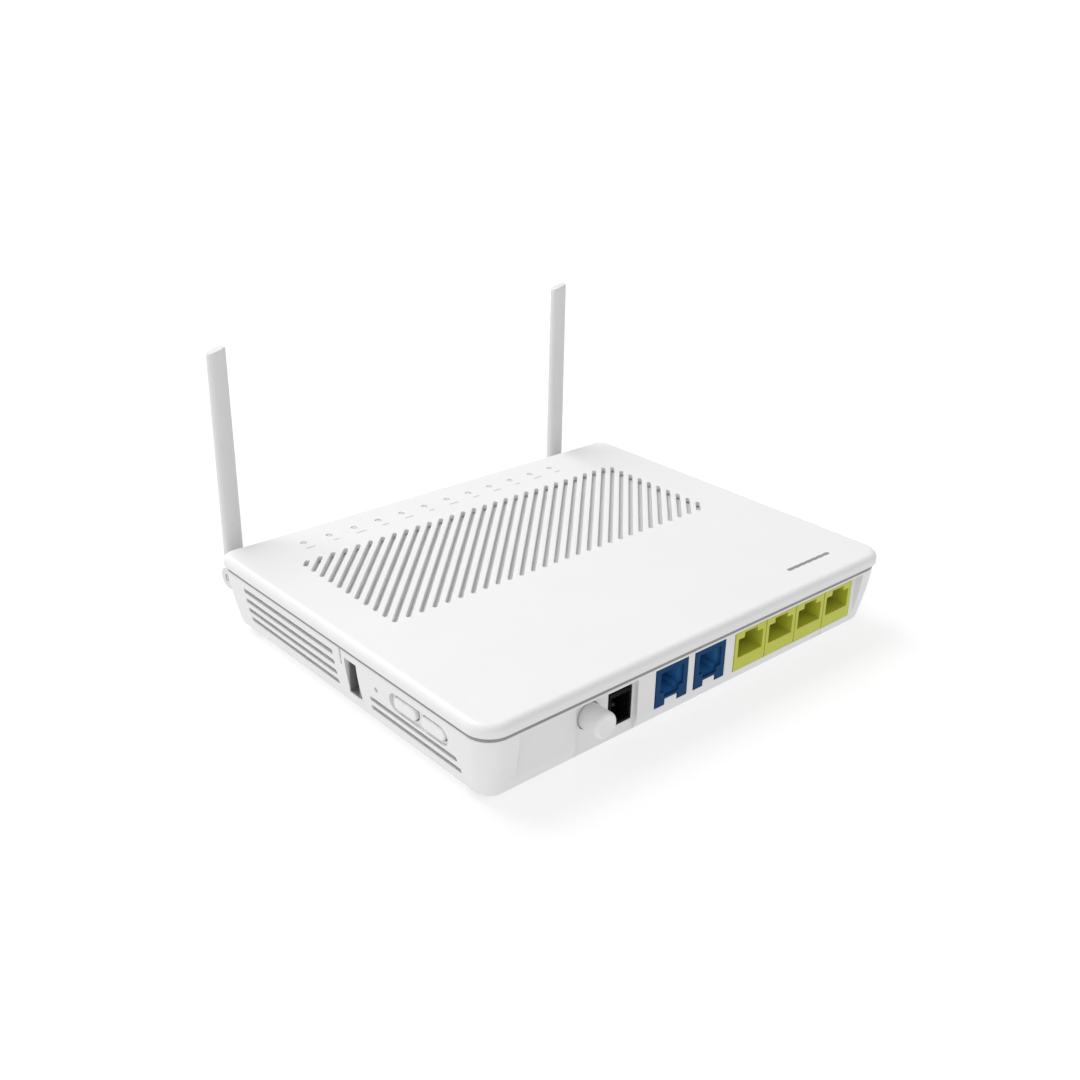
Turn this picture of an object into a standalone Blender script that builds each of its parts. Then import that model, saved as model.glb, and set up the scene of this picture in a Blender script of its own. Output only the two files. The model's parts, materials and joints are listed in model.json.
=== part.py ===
"""Optical network terminal: a flat white case with two hinged antennas at its rear.

All lengths below are in millimetres. Places are measured from the case's left edge (x), from the
edge above the sockets (y) and from the surface it stands on (z). finish() turns them into metres
about the model's origin, which is the bottom centre of the whole object.
"""
import math

import bmesh
import bpy
from mathutils import Vector

MM = 0.001

# ---- case ----------------------------------------------------------------------------------
CASE_W = 176.0
CASE_D = 140.0
CASE_H = 28.0
CASE_CORNER, REAR_CORNER = 8.0, 4.5
CORNER_STEPS = 6

SEAM_LOW = 22.5          # top of the tray's outer rim
SEAM_HIGH = 24.1         # bottom of the cover's skirt
COVER_EDGE = 2.2         # rounding between skirt and top
COVER_TOP = 1.8          # thickness of the cover's top
SKIRT = 2.0              # thickness of the cover's skirt

TRAY_BOTTOM = 2.0
TRAY_FLOOR = 3.4
TRAY_RIM_INSET = 0.9
TRAY_DRAFT = 3.4         # how far the walls curve in from rim to bottom
TRAY_FOOT_ROUND = 1.8
TRAY_WALL = 2.0
TONGUE_OUT = 2.4         # the tray's rim tongue stands inside the cover's skirt
TONGUE_IN = 3.4
TONGUE_TOP = 25.2

# ---- socket side ---------------------------------------------------------------------------
PORT_PLANE = 3.2         # recessed wall that the sockets come through
PORT_INNER = 6.0
PORT_LEFT, PORT_RIGHT = 12.8, 165.0
PORT_TOP = 21.8
BAY_LEFT, BAY_RIGHT, BAY_PLANE = 35.2, 59.8, 4.8    # deeper part round knob and power socket
JACK_FACE = 3.0
JACK_BOTTOM, JACK_TOP = 6.4, 19.9
GAP = 0.3

LAN_COUNT = 4
LAN_LEFT, LAN_RIGHT = 102.6, 162.2
LAN_DEPTH = 18.0
LAN_FLOOR, LAN_SHOULDER, LAN_NOTCH_TOP = 10.8, 17.3, 19.0
LAN_HALF, LAN_NOTCH_HALF = 5.9, 3.1
LAN_CAVITY = 12.0

PHONE_CENTRES = (74.1, 91.0)
PHONE_HALF = 6.8
PHONE_BOTTOM = 7.0
PHONE_DEPTH = 15.0
PHONE_FLOOR, PHONE_SHOULDER, PHONE_TOP = 9.8, 11.5, 18.2
PHONE_OPEN_HALF, PHONE_NOTCH_HALF = 4.9, 3.1
PHONE_CAVITY = 11.0
PHONE_TAB_HALF, PHONE_TAB_TOP = 2.6, 8.7

POWER_LEFT, POWER_RIGHT = 49.5, 58.6
POWER_BOTTOM, POWER_TOP = 6.7, 17.9
POWER_FACE = 4.6
POWER_DEPTH = 12.0
POWER_WALL, POWER_LATCH = 0.8, 1.6
POWER_CAVITY = 9.0

KNOB_X, KNOB_Z = 41.6, 14.4
KNOB_R = 4.1
KNOB_OUT = 6.0           # how far the knob stands out of the wall

# ---- left side -----------------------------------------------------------------------------
SLOT_H = 1.7
REAR_SLOTS = ((19.1, 73.3, 126.3), (15.5, 73.1, 125.9), (11.9, 73.0, 125.8), (8.4, 73.0, 125.4))
FRONT_SLOTS = ((11.3, 14.6, 55.8), (7.9, 13.5, 56.2))
GROOVE_Y, GROOVE_HALF = 69.1, 0.5    # short upright groove between the USB socket and the rear slots
USB_Y, USB_Z = 64.0, 14.0
USB_W, USB_H = 5.6, 11.8
USB_FACE = 2.4
USB_LONG = 13.8
USB_SHEET = 0.4
BUTTON_Z = 16.5
BUTTON_YS = {"wps": 24.6, "wlan": 37.6}
BUTTON_HALF, BUTTON_R = 5.4, 2.0
BUTTON_FACE, BUTTON_GAP = 1.5, 0.5
POCKET_FLOOR, POCKET_R, POCKET_REACH = 2.7, 3.3, 3.8
RESET_Y, RESET_Z = 51.4, 16.3
RESET_R = 0.6

# ---- top -----------------------------------------------------------------------------------
VENT_X = (16.5, 157.5)
VENT_Y = (63.5, 116.5)
VENT_PITCH = 4.98        # along x; the slots run at 45 degrees
VENT_PHASE = -1.8        # x - y on the centre line of one slot
VENT_SLOT = 1.5
SCREEN_LOW, SCREEN_HIGH, SCREEN_LAP = 25.3, 25.9, 6.0
LED_COUNT = 12
LED_FIRST, LED_PITCH = 26.0, 10.1
LED_Y = 129.0
LED_R = 0.9

# ---- optical port, right side -------------------------------------------------------------
OPTIC_Y, OPTIC_Z = 70.0, 13.6
OPTIC_PLANE = 171.4
OPTIC_LONG = 21.0
OPTIC_HALF_Y, OPTIC_HALF_Z = 6.3, 5.0
OPTIC_OPEN_Y, OPTIC_OPEN_Z = 4.5, 3.7

# ---- antennas ------------------------------------------------------------------------------
ANTENNAS = {"left": 9.3, "right": 156.0}
TILT_Y, TILT_Z = 147.2, 14.0
EAR_R = 3.5
BLADE_W, BLADE_T = 6.6, 4.2
BLADE_START = 4.3        # distance from the tilt axis to the blade's shoulder
BLADE_TOP = 94.6
BLADE_SLANT = 1.7        # the tip drops this much towards the left
SWIVEL_R = 4.8
SHAFT_R = 2.0

# ---- board and fixings --------------------------------------------------------------------
BOARD_LOW, BOARD_HIGH = 4.5, 6.1
PART_LOW = BOARD_HIGH + GAP
BOARD_POSTS = ((24.0, 38.0), (150.0, 38.0), (24.0, 112.0), (150.0, 112.0))
CASE_POSTS = ((8.4, 11.5), (167.6, 11.5), (8.4, 128.5), (167.6, 128.5))
FEET = ((26.0, 18.5), (150.0, 18.5), (26.0, 121.5), (150.0, 121.5))
FOOT_R = 5.0
POST_TOP = 9.0
LABEL = (58.0, 118.0, 84.0, 114.0)
KEYHOLES = (44.0, 132.0)
KEYHOLE_Y, KEYHOLE_R, KEYHOLE_NECK = 62.0, 4.0, 1.9
KEYHOLE_LONG = 9.0

MID_X = CASE_W / 2
MID_Y = ((PORT_PLANE - KNOB_OUT) + (TILT_Y + EAR_R)) / 2


# ---- scene and materials -------------------------------------------------------------------
def clear_scene():
    for item in list(bpy.data.objects):
        bpy.data.objects.remove(item, do_unlink=True)


def make_material(name, colour, roughness, metallic=0.0):
    mat = bpy.data.materials.new(name)
    mat.use_nodes = True
    shader = mat.node_tree.nodes["Principled BSDF"]
    shader.inputs["Base Color"].default_value = (*colour, 1.0)
    shader.inputs["Roughness"].default_value = roughness
    shader.inputs["Metallic"].default_value = metallic
    return mat


def to_world(point):
    return Vector(((point[0] - MID_X) * MM, (point[1] - MID_Y) * MM, point[2] * MM))


def finish(name, bm, material, pivot=None, smooth=False):
    """Turn a bmesh in case millimetres into an object whose origin is the pivot."""
    bmesh.ops.recalc_face_normals(bm, faces=bm.faces)
    origin = to_world(pivot) if pivot else Vector((0.0, 0.0, 0.0))
    for vert in bm.verts:
        vert.co = to_world(vert.co) - origin
    mesh = bpy.data.meshes.new(name)
    bm.to_mesh(mesh)
    bm.free()
    obj = bpy.data.objects.new(name, mesh)
    obj.location = origin
    bpy.context.scene.collection.objects.link(obj)
    if material:
        mesh.materials.append(material)
    if smooth:
        mesh.shade_smooth()
        mesh.set_sharp_from_angle(angle=math.radians(40))
    return obj


def boolean(target, name, bm, operation):
    """Apply a hidden tool solid to the target with a Boolean modifier."""
    tool = finish(name, bm, None)
    tool.hide_render = True
    tool.display_type = 'WIRE'
    mod = target.modifiers.new(name, 'BOOLEAN')
    mod.operation = operation
    mod.solver = 'EXACT'
    mod.object = tool


# ---- shapes --------------------------------------------------------------------------------
def on_axis(axis, u, v, along):
    """A point from two cross coordinates, in X, Y, Z order, and one along the axis."""
    if axis == 'X':
        return (along, u, v)
    if axis == 'Y':
        return (u, along, v)
    return (u, v, along)


def loft(bm, rings, closed=False):
    loops = [[bm.verts.new(point) for point in ring] for ring in rings]
    count = len(loops[0])
    pairs = list(zip(loops, loops[1:]))
    if closed:
        pairs.append((loops[-1], loops[0]))
    for low, high in pairs:
        for i in range(count):
            j = (i + 1) % count
            bm.faces.new((low[i], low[j], high[j], high[i]))
    if not closed:
        bm.faces.new(loops[0][::-1])
        bm.faces.new(loops[-1])


def prism(bm, outline, axis, low, high):
    loft(bm, [[on_axis(axis, u, v, a) for u, v in outline] for a in (low, high)])


def box(bm, xs, ys, zs):
    prism(bm, ((xs[0], ys[0]), (xs[1], ys[0]), (xs[1], ys[1]), (xs[0], ys[1])), 'Z', *zs)


def circle(cu, cv, radius, sides, turn=0.0):
    angles = [turn + 2 * math.pi * k / sides for k in range(sides)]
    return [(cu + radius * math.cos(a), cv + radius * math.sin(a)) for a in angles]


def rod(bm, cu, cv, radius, axis, low, high, sides=12):
    prism(bm, circle(cu, cv, radius, sides, math.pi / sides), axis, low, high)


def turned(bm, cu, cv, profile, axis, sides=24, closed=False):
    """A turned body: the profile lists (radius, place along the axis)."""
    rings = [[on_axis(axis, u, v, along) for u, v in circle(cu, cv, radius, sides)]
             for radius, along in profile]
    loft(bm, rings, closed)


def rounded(x0, x1, y0, y1, radius, steps=CORNER_STEPS, rear=None):
    """Rounded rectangle, anticlockwise; its two far corners may have their own radius."""
    rear = rear or radius
    corners = ((x1 - radius, y0 + radius, -90, radius), (x1 - rear, y1 - rear, 0, rear),
               (x0 + rear, y1 - rear, 90, rear), (x0 + radius, y0 + radius, 180, radius))
    points = []
    for cx, cy, start, size in corners:
        for k in range(steps + 1):
            angle = math.radians(start + 90 * k / steps)
            points.append((cx + size * math.cos(angle), cy + size * math.sin(angle)))
    return points


def superellipse(cu, cv, half_u, half_v, power=2.8, count=20):
    """Flatter than an ellipse, yet curved all round."""
    points = []
    for k in range(count):
        c, s = math.cos(2 * math.pi * k / count), math.sin(2 * math.pi * k / count)
        points.append((cu + half_u * math.copysign(abs(c) ** (2 / power), c),
                       cv + half_v * math.copysign(abs(s) ** (2 / power), s)))
    return points


def pill(u0, v0, u1, v1, radius, steps=4):
    """A slot outline with round ends between two centres."""
    heading = math.atan2(v1 - v0, u1 - u0)
    points = []
    for cu, cv, start in ((u1, v1, heading - math.pi / 2), (u0, v0, heading + math.pi / 2)):
        for k in range(steps + 1):
            angle = start + math.pi * k / steps
            points.append((cu + radius * math.cos(angle), cv + radius * math.sin(angle)))
    return points


def case_ring(inset, z, front=None):
    """The case's outline moved in by an inset; the socket side may have its own place."""
    low = inset if front is None else front
    size, rear = max(CASE_CORNER - inset * 0.7, 2.5), max(REAR_CORNER - inset * 0.5, 1.5)
    return [(x, y, z) for x, y in rounded(inset, CASE_W - inset, low, CASE_D - inset, size, rear=rear)]


def tray_inset(z):
    """How far the tray's outer wall stands in from the cover's edge at a height."""
    depth = (SEAM_LOW - z) / (SEAM_LOW - TRAY_BOTTOM)
    inset = TRAY_RIM_INSET + TRAY_DRAFT * max(depth, 0.0) ** 1.5
    rise = min((z - TRAY_BOTTOM) / TRAY_FOOT_ROUND, 1.0)
    return inset + TRAY_FOOT_ROUND * (1 - math.sqrt(1 - (1 - rise) ** 2))


# ---- cover ---------------------------------------------------------------------------------
def make_cover(material):
    bm = bmesh.new()
    rings = []
    for k in range(5):
        angle = math.radians(90 - 22.5 * k)
        inset = COVER_EDGE * (1 - math.cos(angle))
        rings.append(case_ring(inset, CASE_H - COVER_EDGE * (1 - math.sin(angle))))
    rings.append(case_ring(0.0, SEAM_HIGH + 0.3))
    rings.append(case_ring(0.3, SEAM_HIGH))
    rings.append(case_ring(SKIRT, SEAM_HIGH))
    rings.append(case_ring(SKIRT + 0.2, CASE_H - COVER_TOP))
    loft(bm, rings)
    cover = finish("top_cover", bm, material)

    bm = bmesh.new()
    for x, y in CASE_POSTS:
        rod(bm, x, y, 3.2, 'Z', POST_TOP + GAP, CASE_H - COVER_TOP / 2)
    boolean(cover, "cover_bosses", bm, 'UNION')

    bm = bmesh.new()
    for x, y in CASE_POSTS:
        rod(bm, x, y, 1.6, 'Z', POST_TOP - 1, 18.0, 8)
    for k in range(LED_COUNT):
        rod(bm, LED_FIRST + LED_PITCH * k, LED_Y, LED_R + GAP, 'Z', CASE_H - 4, CASE_H + 1, 8)
    for outline in vent_slots():
        prism(bm, outline, 'Z', CASE_H - 4, CASE_H + 1)
    boolean(cover, "cover_cuts", bm, 'DIFFERENCE')
    return cover


def vent_slots():
    """Parallel slots at 45 degrees, clipped to the vent field."""
    half = VENT_SLOT / 2
    (x0, x1), (y0, y1) = VENT_X, VENT_Y
    x0, x1, y0, y1 = x0 + half, x1 - half, y0 + half, y1 - half
    height = y1 - y0
    phase = y0 + VENT_PHASE
    slots = []
    for k in range(math.ceil((x0 - height - phase) / VENT_PITCH), math.ceil((x1 - phase) / VENT_PITCH)):
        start = phase + VENT_PITCH * k
        low = max(0.0, x0 - start)
        high = min(height, x1 - start)
        if high - low > 1.5:
            slots.append(pill(start + low, y0 + low, start + high, y0 + high, half, 3))
    return slots


def make_vent_screen(material):
    """A thin sheet close under the slots, which keeps fingers and dust off the board."""
    bm = bmesh.new()
    xs, ys = ((low - SCREEN_LAP, high + SCREEN_LAP) for low, high in (VENT_X, VENT_Y))
    box(bm, xs, ys, (SCREEN_LOW, SCREEN_HIGH))
    finish("vent_screen", bm, material)


def make_light_pipe(material):
    bm = bmesh.new()
    last = LED_FIRST + LED_PITCH * (LED_COUNT - 1)
    box(bm, (LED_FIRST - 3, last + 3), (LED_Y - 1.5, LED_Y + 1.5), (22.0, 25.4))
    pipe = finish("light_pipe", bm, material)
    bm = bmesh.new()
    for k in range(LED_COUNT):
        rod(bm, LED_FIRST + LED_PITCH * k, LED_Y, LED_R, 'Z', 24.5, CASE_H - 0.15, 8)
    boolean(pipe, "light_pipe_lenses", bm, 'UNION')


# ---- tray ----------------------------------------------------------------------------------
def make_tray(material):
    bm = bmesh.new()
    rings = [case_ring(tray_inset(z), z) for z in (2.0, 2.3, 2.9, 3.8, 6.5, 10.0, 14.0, 18.5, SEAM_LOW)]
    rings.append(case_ring(TONGUE_OUT, SEAM_LOW))
    rings.append(case_ring(TONGUE_OUT, TONGUE_TOP))
    rings.append(case_ring(TONGUE_IN, TONGUE_TOP, front=PORT_INNER))
    for z in (17.0, 11.0, TRAY_FLOOR):
        rings.append(case_ring(max(tray_inset(max(z, 3.8)) + TRAY_WALL, TONGUE_IN), z, front=PORT_INNER))
    loft(bm, rings)
    tray = finish("base_tray", bm, material)

    bm = bmesh.new()
    for x, y in CASE_POSTS:
        rod(bm, x, y, 4.2, 'Z', TRAY_FLOOR - 0.7, POST_TOP, 16)
    for x, y in BOARD_POSTS:
        rod(bm, x, y, 3.2, 'Z', TRAY_FLOOR - 0.7, BOARD_LOW - GAP)
    box(bm, (OPTIC_PLANE - 2.2, OPTIC_PLANE + 0.5), (OPTIC_Y - 14, OPTIC_Y + 14), (5.0, PORT_TOP))
    boolean(tray, "tray_posts", bm, 'UNION')

    bm = bmesh.new()
    box(bm, (PORT_LEFT, PORT_RIGHT), (-5.0, PORT_PLANE), (-1.0, PORT_TOP))
    box(bm, (OPTIC_PLANE, 180.0), (OPTIC_Y - 12, OPTIC_Y + 12), (6.0, 20.6))
    pocket = pill(BUTTON_YS["wps"] - POCKET_REACH, BUTTON_Z, BUTTON_YS["wlan"] + POCKET_REACH, BUTTON_Z, POCKET_R, 6)
    prism(bm, pocket, 'X', -1.0, POCKET_FLOOR)
    boolean(tray, "tray_recesses", bm, 'DIFFERENCE')

    bm = bmesh.new()
    box(bm, (BAY_LEFT, BAY_RIGHT), (0.0, BAY_PLANE), (-1.0, PORT_TOP - 0.1))
    boolean(tray, "tray_bay", bm, 'DIFFERENCE')

    boolean(tray, "tray_windows", tray_windows(), 'DIFFERENCE')
    boolean(tray, "tray_underside", tray_underside(), 'DIFFERENCE')
    return tray


def tray_windows():
    """Openings in the four walls."""
    bm = bmesh.new()
    through = (0.0, PORT_INNER + 1.5)
    box(bm, (LAN_LEFT - GAP, LAN_RIGHT + GAP), through, (JACK_BOTTOM - GAP, JACK_TOP + GAP))
    for centre in PHONE_CENTRES:
        left, right = centre - PHONE_HALF - GAP, centre + PHONE_HALF + GAP
        low, high = PHONE_BOTTOM - GAP, JACK_TOP + GAP
        tab = PHONE_TAB_HALF
        outline = ((left, low), (centre - tab, low), (centre - tab, PHONE_TAB_TOP),
                   (centre + tab, PHONE_TAB_TOP), (centre + tab, low), (right, low),
                   (right, high), (left, high))
        prism(bm, outline, 'Y', *through)
    box(bm, (POWER_LEFT - GAP, POWER_RIGHT + GAP), through, (POWER_BOTTOM - GAP, POWER_TOP + GAP))
    rod(bm, KNOB_X, KNOB_Z, KNOB_R + GAP, 'Y', *through, 20)
    box(bm, (143.5, 149.0), (0.0, 4.6), (1.0, 4.6))

    wall = (-1.0, 6.0)
    for z, y0, y1 in REAR_SLOTS + FRONT_SLOTS:
        prism(bm, pill(y0 + SLOT_H / 2, z, y1 - SLOT_H / 2, z, SLOT_H / 2, 3), 'X', *wall)
    box(bm, wall, (USB_Y - USB_W / 2 - GAP, USB_Y + USB_W / 2 + GAP),
        (USB_Z - USB_H / 2 - GAP, USB_Z + USB_H / 2 + GAP))
    for y in BUTTON_YS.values():
        reach = BUTTON_HALF - BUTTON_R
        prism(bm, pill(y - reach, BUTTON_Z, y + reach, BUTTON_Z, BUTTON_R + BUTTON_GAP), 'X', *wall)
    rod(bm, RESET_Y, RESET_Z, RESET_R + GAP, 'X', *wall, 10)
    box(bm, (0.0, TRAY_RIM_INSET + 0.9), (GROOVE_Y - GROOVE_HALF, GROOVE_Y + GROOVE_HALF),
        (17.0, SEAM_LOW + 1))

    right = (CASE_W - 6.0, CASE_W + 1.0)
    for z, *_ in REAR_SLOTS:
        for y0, y1 in ((16.0, 50.0), (92.0, 124.0)):
            prism(bm, pill(y0, z, y1, z, SLOT_H / 2, 3), 'X', *right)
    box(bm, (OPTIC_PLANE - 4, 180.0), (OPTIC_Y - OPTIC_HALF_Y - GAP, OPTIC_Y + OPTIC_HALF_Y + GAP),
        (OPTIC_Z - OPTIC_HALF_Z - GAP, OPTIC_Z + OPTIC_HALF_Z + GAP))

    rear = (CASE_D - 6.0, CASE_D + 1.0)
    for x in ANTENNAS.values():
        rod(bm, x, TILT_Z, SHAFT_R + 1.6, 'Y', *rear, 16)
    for z, *_ in REAR_SLOTS[1:]:
        for x0, x1 in ((34.0, 78.0), (98.0, 142.0)):
            prism(bm, pill(x0, z, x1, z, SLOT_H / 2, 3), 'Y', *rear)
    return bm


def tray_underside():
    """Screw holes, foot pockets, keyholes, label pocket and vents in the floor."""
    bm = bmesh.new()
    for x, y in CASE_POSTS:
        turned(bm, x, y, ((3.2, 0.0), (3.2, 5.6), (1.7, 5.6), (1.7, POST_TOP + 1)), 'Z', 12)
    for x, y in BOARD_POSTS:
        rod(bm, x, y, 1.5, 'Z', 2.4, BOARD_LOW + 1, 8)
    for x, y in FEET:
        rod(bm, x, y, FOOT_R + GAP, 'Z', 0.0, 2.9, 20)
    box(bm, LABEL[:2], LABEL[2:], (0.0, 2.4))
    for x in KEYHOLES:
        neck = math.asin(KEYHOLE_NECK / KEYHOLE_R)
        end, joint = KEYHOLE_Y + KEYHOLE_LONG, KEYHOLE_Y + math.cos(neck) * KEYHOLE_R
        steps = 12
        outline = [(x - KEYHOLE_NECK, end), (x - KEYHOLE_NECK, joint)]
        for k in range(1, steps):
            angle = math.pi / 2 + neck + (2 * math.pi - 2 * neck) * k / steps
            outline.append((x + KEYHOLE_R * math.cos(angle), KEYHOLE_Y + KEYHOLE_R * math.sin(angle)))
        outline += [(x + KEYHOLE_NECK, joint), (x + KEYHOLE_NECK, end)]
        prism(bm, outline, 'Z', 0.0, BOARD_LOW)
    for row in (34.0, 54.0):
        for k in range(9):
            x = 64.0 + 6.0 * k
            prism(bm, pill(x, row, x, row + 13.0, 1.2, 3), 'Z', 0.0, BOARD_LOW)
    return bm


# ---- sockets -------------------------------------------------------------------------------
def lan_centres():
    pitch = (LAN_RIGHT - LAN_LEFT) / LAN_COUNT
    return [LAN_LEFT + pitch * (k + 0.5) for k in range(LAN_COUNT)]


def make_lan_jacks(plastic, gold):
    bm = bmesh.new()
    box(bm, (LAN_LEFT, LAN_RIGHT), (JACK_FACE, JACK_FACE + LAN_DEPTH), (JACK_BOTTOM, JACK_TOP))
    block = finish("lan_jack_block", bm, plastic)
    bm = bmesh.new()
    for centre in lan_centres():
        outline = ((centre - LAN_HALF, LAN_FLOOR), (centre + LAN_HALF, LAN_FLOOR),
                   (centre + LAN_HALF, LAN_SHOULDER), (centre + LAN_NOTCH_HALF, LAN_SHOULDER),
                   (centre + LAN_NOTCH_HALF, LAN_NOTCH_TOP), (centre - LAN_NOTCH_HALF, LAN_NOTCH_TOP),
                   (centre - LAN_NOTCH_HALF, LAN_SHOULDER), (centre - LAN_HALF, LAN_SHOULDER))
        prism(bm, outline, 'Y', JACK_FACE - 1, JACK_FACE + LAN_CAVITY)
    boolean(block, "lan_cavities", bm, 'DIFFERENCE')
    for k, centre in enumerate(lan_centres()):
        make_contacts(f"lan_contacts_{k + 1}", gold, centre, 8, LAN_FLOOR + GAP, 1,
                      JACK_FACE + LAN_CAVITY - GAP)


def make_contacts(name, gold, centre, count, base, side, back):
    """A comb of sloping spring wires; side is +1 where they rise from the cavity's floor."""
    pitch, width = 1.02, 0.5
    span = pitch * (count - 1) / 2 + width / 2
    bm = bmesh.new()
    box(bm, (centre - span - 0.3, centre + span + 0.3), (back - 1.0, back),
        sorted((base, base + side * 3.0)))
    comb = finish(name, bm, gold)
    bm = bmesh.new()
    for k in range(count):
        x = centre + pitch * (k - (count - 1) / 2)
        outline = ((back - 0.5, base + side * 2.0), (back - 0.5, base + side * 2.6),
                   (back - 6.0, base + side * 0.9), (back - 6.0, base + side * 0.3))
        prism(bm, outline, 'X', x - width / 2, x + width / 2)
    boolean(comb, name + "_wires", bm, 'UNION')


def make_phone_jacks(plastic, gold):
    for k, centre in enumerate(PHONE_CENTRES):
        bm = bmesh.new()
        low = PHONE_BOTTOM
        box(bm, (centre - PHONE_HALF, centre + PHONE_HALF), (PORT_PLANE + 1.9, JACK_FACE + PHONE_DEPTH),
            (low, JACK_TOP))
        jack = finish(f"phone_jack_{k + 1}", bm, plastic)
        bm = bmesh.new()
        tab = PHONE_TAB_HALF + GAP
        top = PHONE_TAB_TOP + GAP
        outline = ((centre - PHONE_HALF, low), (centre - tab, low), (centre - tab, top),
                   (centre + tab, top), (centre + tab, low), (centre + PHONE_HALF, low),
                   (centre + PHONE_HALF, JACK_TOP), (centre - PHONE_HALF, JACK_TOP))
        prism(bm, outline, 'Y', JACK_FACE, PORT_INNER + 2.0)
        boolean(jack, f"phone_nose_{k + 1}", bm, 'UNION')
        bm = bmesh.new()
        box(bm, (centre - tab, centre + tab), (PORT_PLANE, PORT_INNER + GAP), (low - 1, top))
        boolean(jack, f"phone_relief_{k + 1}", bm, 'DIFFERENCE')
        bm = bmesh.new()
        wide, notch = PHONE_OPEN_HALF, PHONE_NOTCH_HALF
        outline = ((centre - notch, PHONE_FLOOR), (centre + notch, PHONE_FLOOR),
                   (centre + notch, PHONE_SHOULDER), (centre + wide, PHONE_SHOULDER),
                   (centre + wide, PHONE_TOP), (centre - wide, PHONE_TOP),
                   (centre - wide, PHONE_SHOULDER), (centre - notch, PHONE_SHOULDER))
        prism(bm, outline, 'Y', JACK_FACE - 1, JACK_FACE + PHONE_CAVITY)
        boolean(jack, f"phone_cavity_{k + 1}", bm, 'DIFFERENCE')
        make_contacts(f"phone_contacts_{k + 1}", gold, centre, 4, PHONE_TOP - GAP, -1,
                      JACK_FACE + PHONE_CAVITY - GAP)


def make_power_socket(plastic, metal):
    bm = bmesh.new()
    xs = (POWER_LEFT, POWER_RIGHT)
    box(bm, xs, (POWER_FACE, POWER_FACE + POWER_DEPTH), (POWER_BOTTOM, POWER_TOP))
    socket = finish("power_socket", bm, plastic)
    bm = bmesh.new()
    inner = (POWER_LEFT + POWER_WALL, POWER_RIGHT - POWER_WALL)
    back = POWER_FACE + POWER_CAVITY
    box(bm, inner, (POWER_FACE - 1, back), (POWER_BOTTOM + POWER_WALL, POWER_TOP - POWER_LATCH))
    boolean(socket, "power_cavity", bm, 'DIFFERENCE')

    centre_x = (POWER_LEFT + POWER_RIGHT) / 2
    centre_z = (POWER_BOTTOM + POWER_WALL + POWER_TOP - POWER_LATCH) / 2
    bm = bmesh.new()
    box(bm, (inner[0] + GAP, inner[1] - GAP), (back - 1.1, back - GAP), (centre_z - 3.6, centre_z + 3.6))
    pins = finish("power_pins", bm, metal)
    bm = bmesh.new()
    for dx in (-2.1, 2.1):
        for dz in (-2.1, 2.1):
            x, z = centre_x + dx, centre_z + dz
            box(bm, (x - 0.5, x + 0.5), (POWER_FACE + 4.6, back - 0.7), (z - 0.5, z + 0.5))
    boolean(pins, "power_pin_blades", bm, 'UNION')


def make_power_switch(body_plastic, knob_plastic):
    bm = bmesh.new()
    box(bm, (KNOB_X - 4.2, KNOB_X + 4.2), (10.4, 22.0), (PART_LOW, KNOB_Z + 4.2))
    body = finish("power_switch", bm, body_plastic)
    bm = bmesh.new()
    rod(bm, KNOB_X, KNOB_Z, 1.5 + GAP, 'Y', 9.0, 17.0)
    boolean(body, "power_switch_bore", bm, 'DIFFERENCE')

    tip = PORT_PLANE - KNOB_OUT
    flange = PORT_INNER + GAP
    profile = ((KNOB_R - 1.3, tip), (KNOB_R - 0.35, tip + 0.35), (KNOB_R, tip + 1.3), (KNOB_R, flange),
               (KNOB_R + 1.1, flange), (KNOB_R + 1.1, flange + 1.0), (1.5, flange + 1.0), (1.5, 13.5))
    bm = bmesh.new()
    turned(bm, KNOB_X, KNOB_Z, profile, 'Y', 24)
    finish("power_button", bm, knob_plastic, (KNOB_X, PORT_PLANE, KNOB_Z), smooth=True)


# ---- left side -----------------------------------------------------------------------------
def make_usb(metal, plastic):
    x0, x1 = USB_FACE, USB_FACE + USB_LONG
    ys = (USB_Y - USB_W / 2, USB_Y + USB_W / 2)
    zs = (USB_Z - USB_H / 2, USB_Z + USB_H / 2)
    bm = bmesh.new()
    box(bm, (x0, x1), ys, zs)
    shell = finish("usb_shell", bm, metal)
    bm = bmesh.new()
    sheet = USB_SHEET
    box(bm, (x0 - 1, x1 - 1.0), (ys[0] + sheet, ys[1] - sheet), (zs[0] + sheet, zs[1] - sheet))
    boolean(shell, "usb_cavity", bm, 'DIFFERENCE')
    bm = bmesh.new()
    box(bm, (x0 + 1.6, x1 - 1.3), (ys[0] + 0.9, ys[0] + 2.5), (zs[0] + 0.9, zs[1] - 0.9))
    finish("usb_tongue", bm, plastic)


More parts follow.
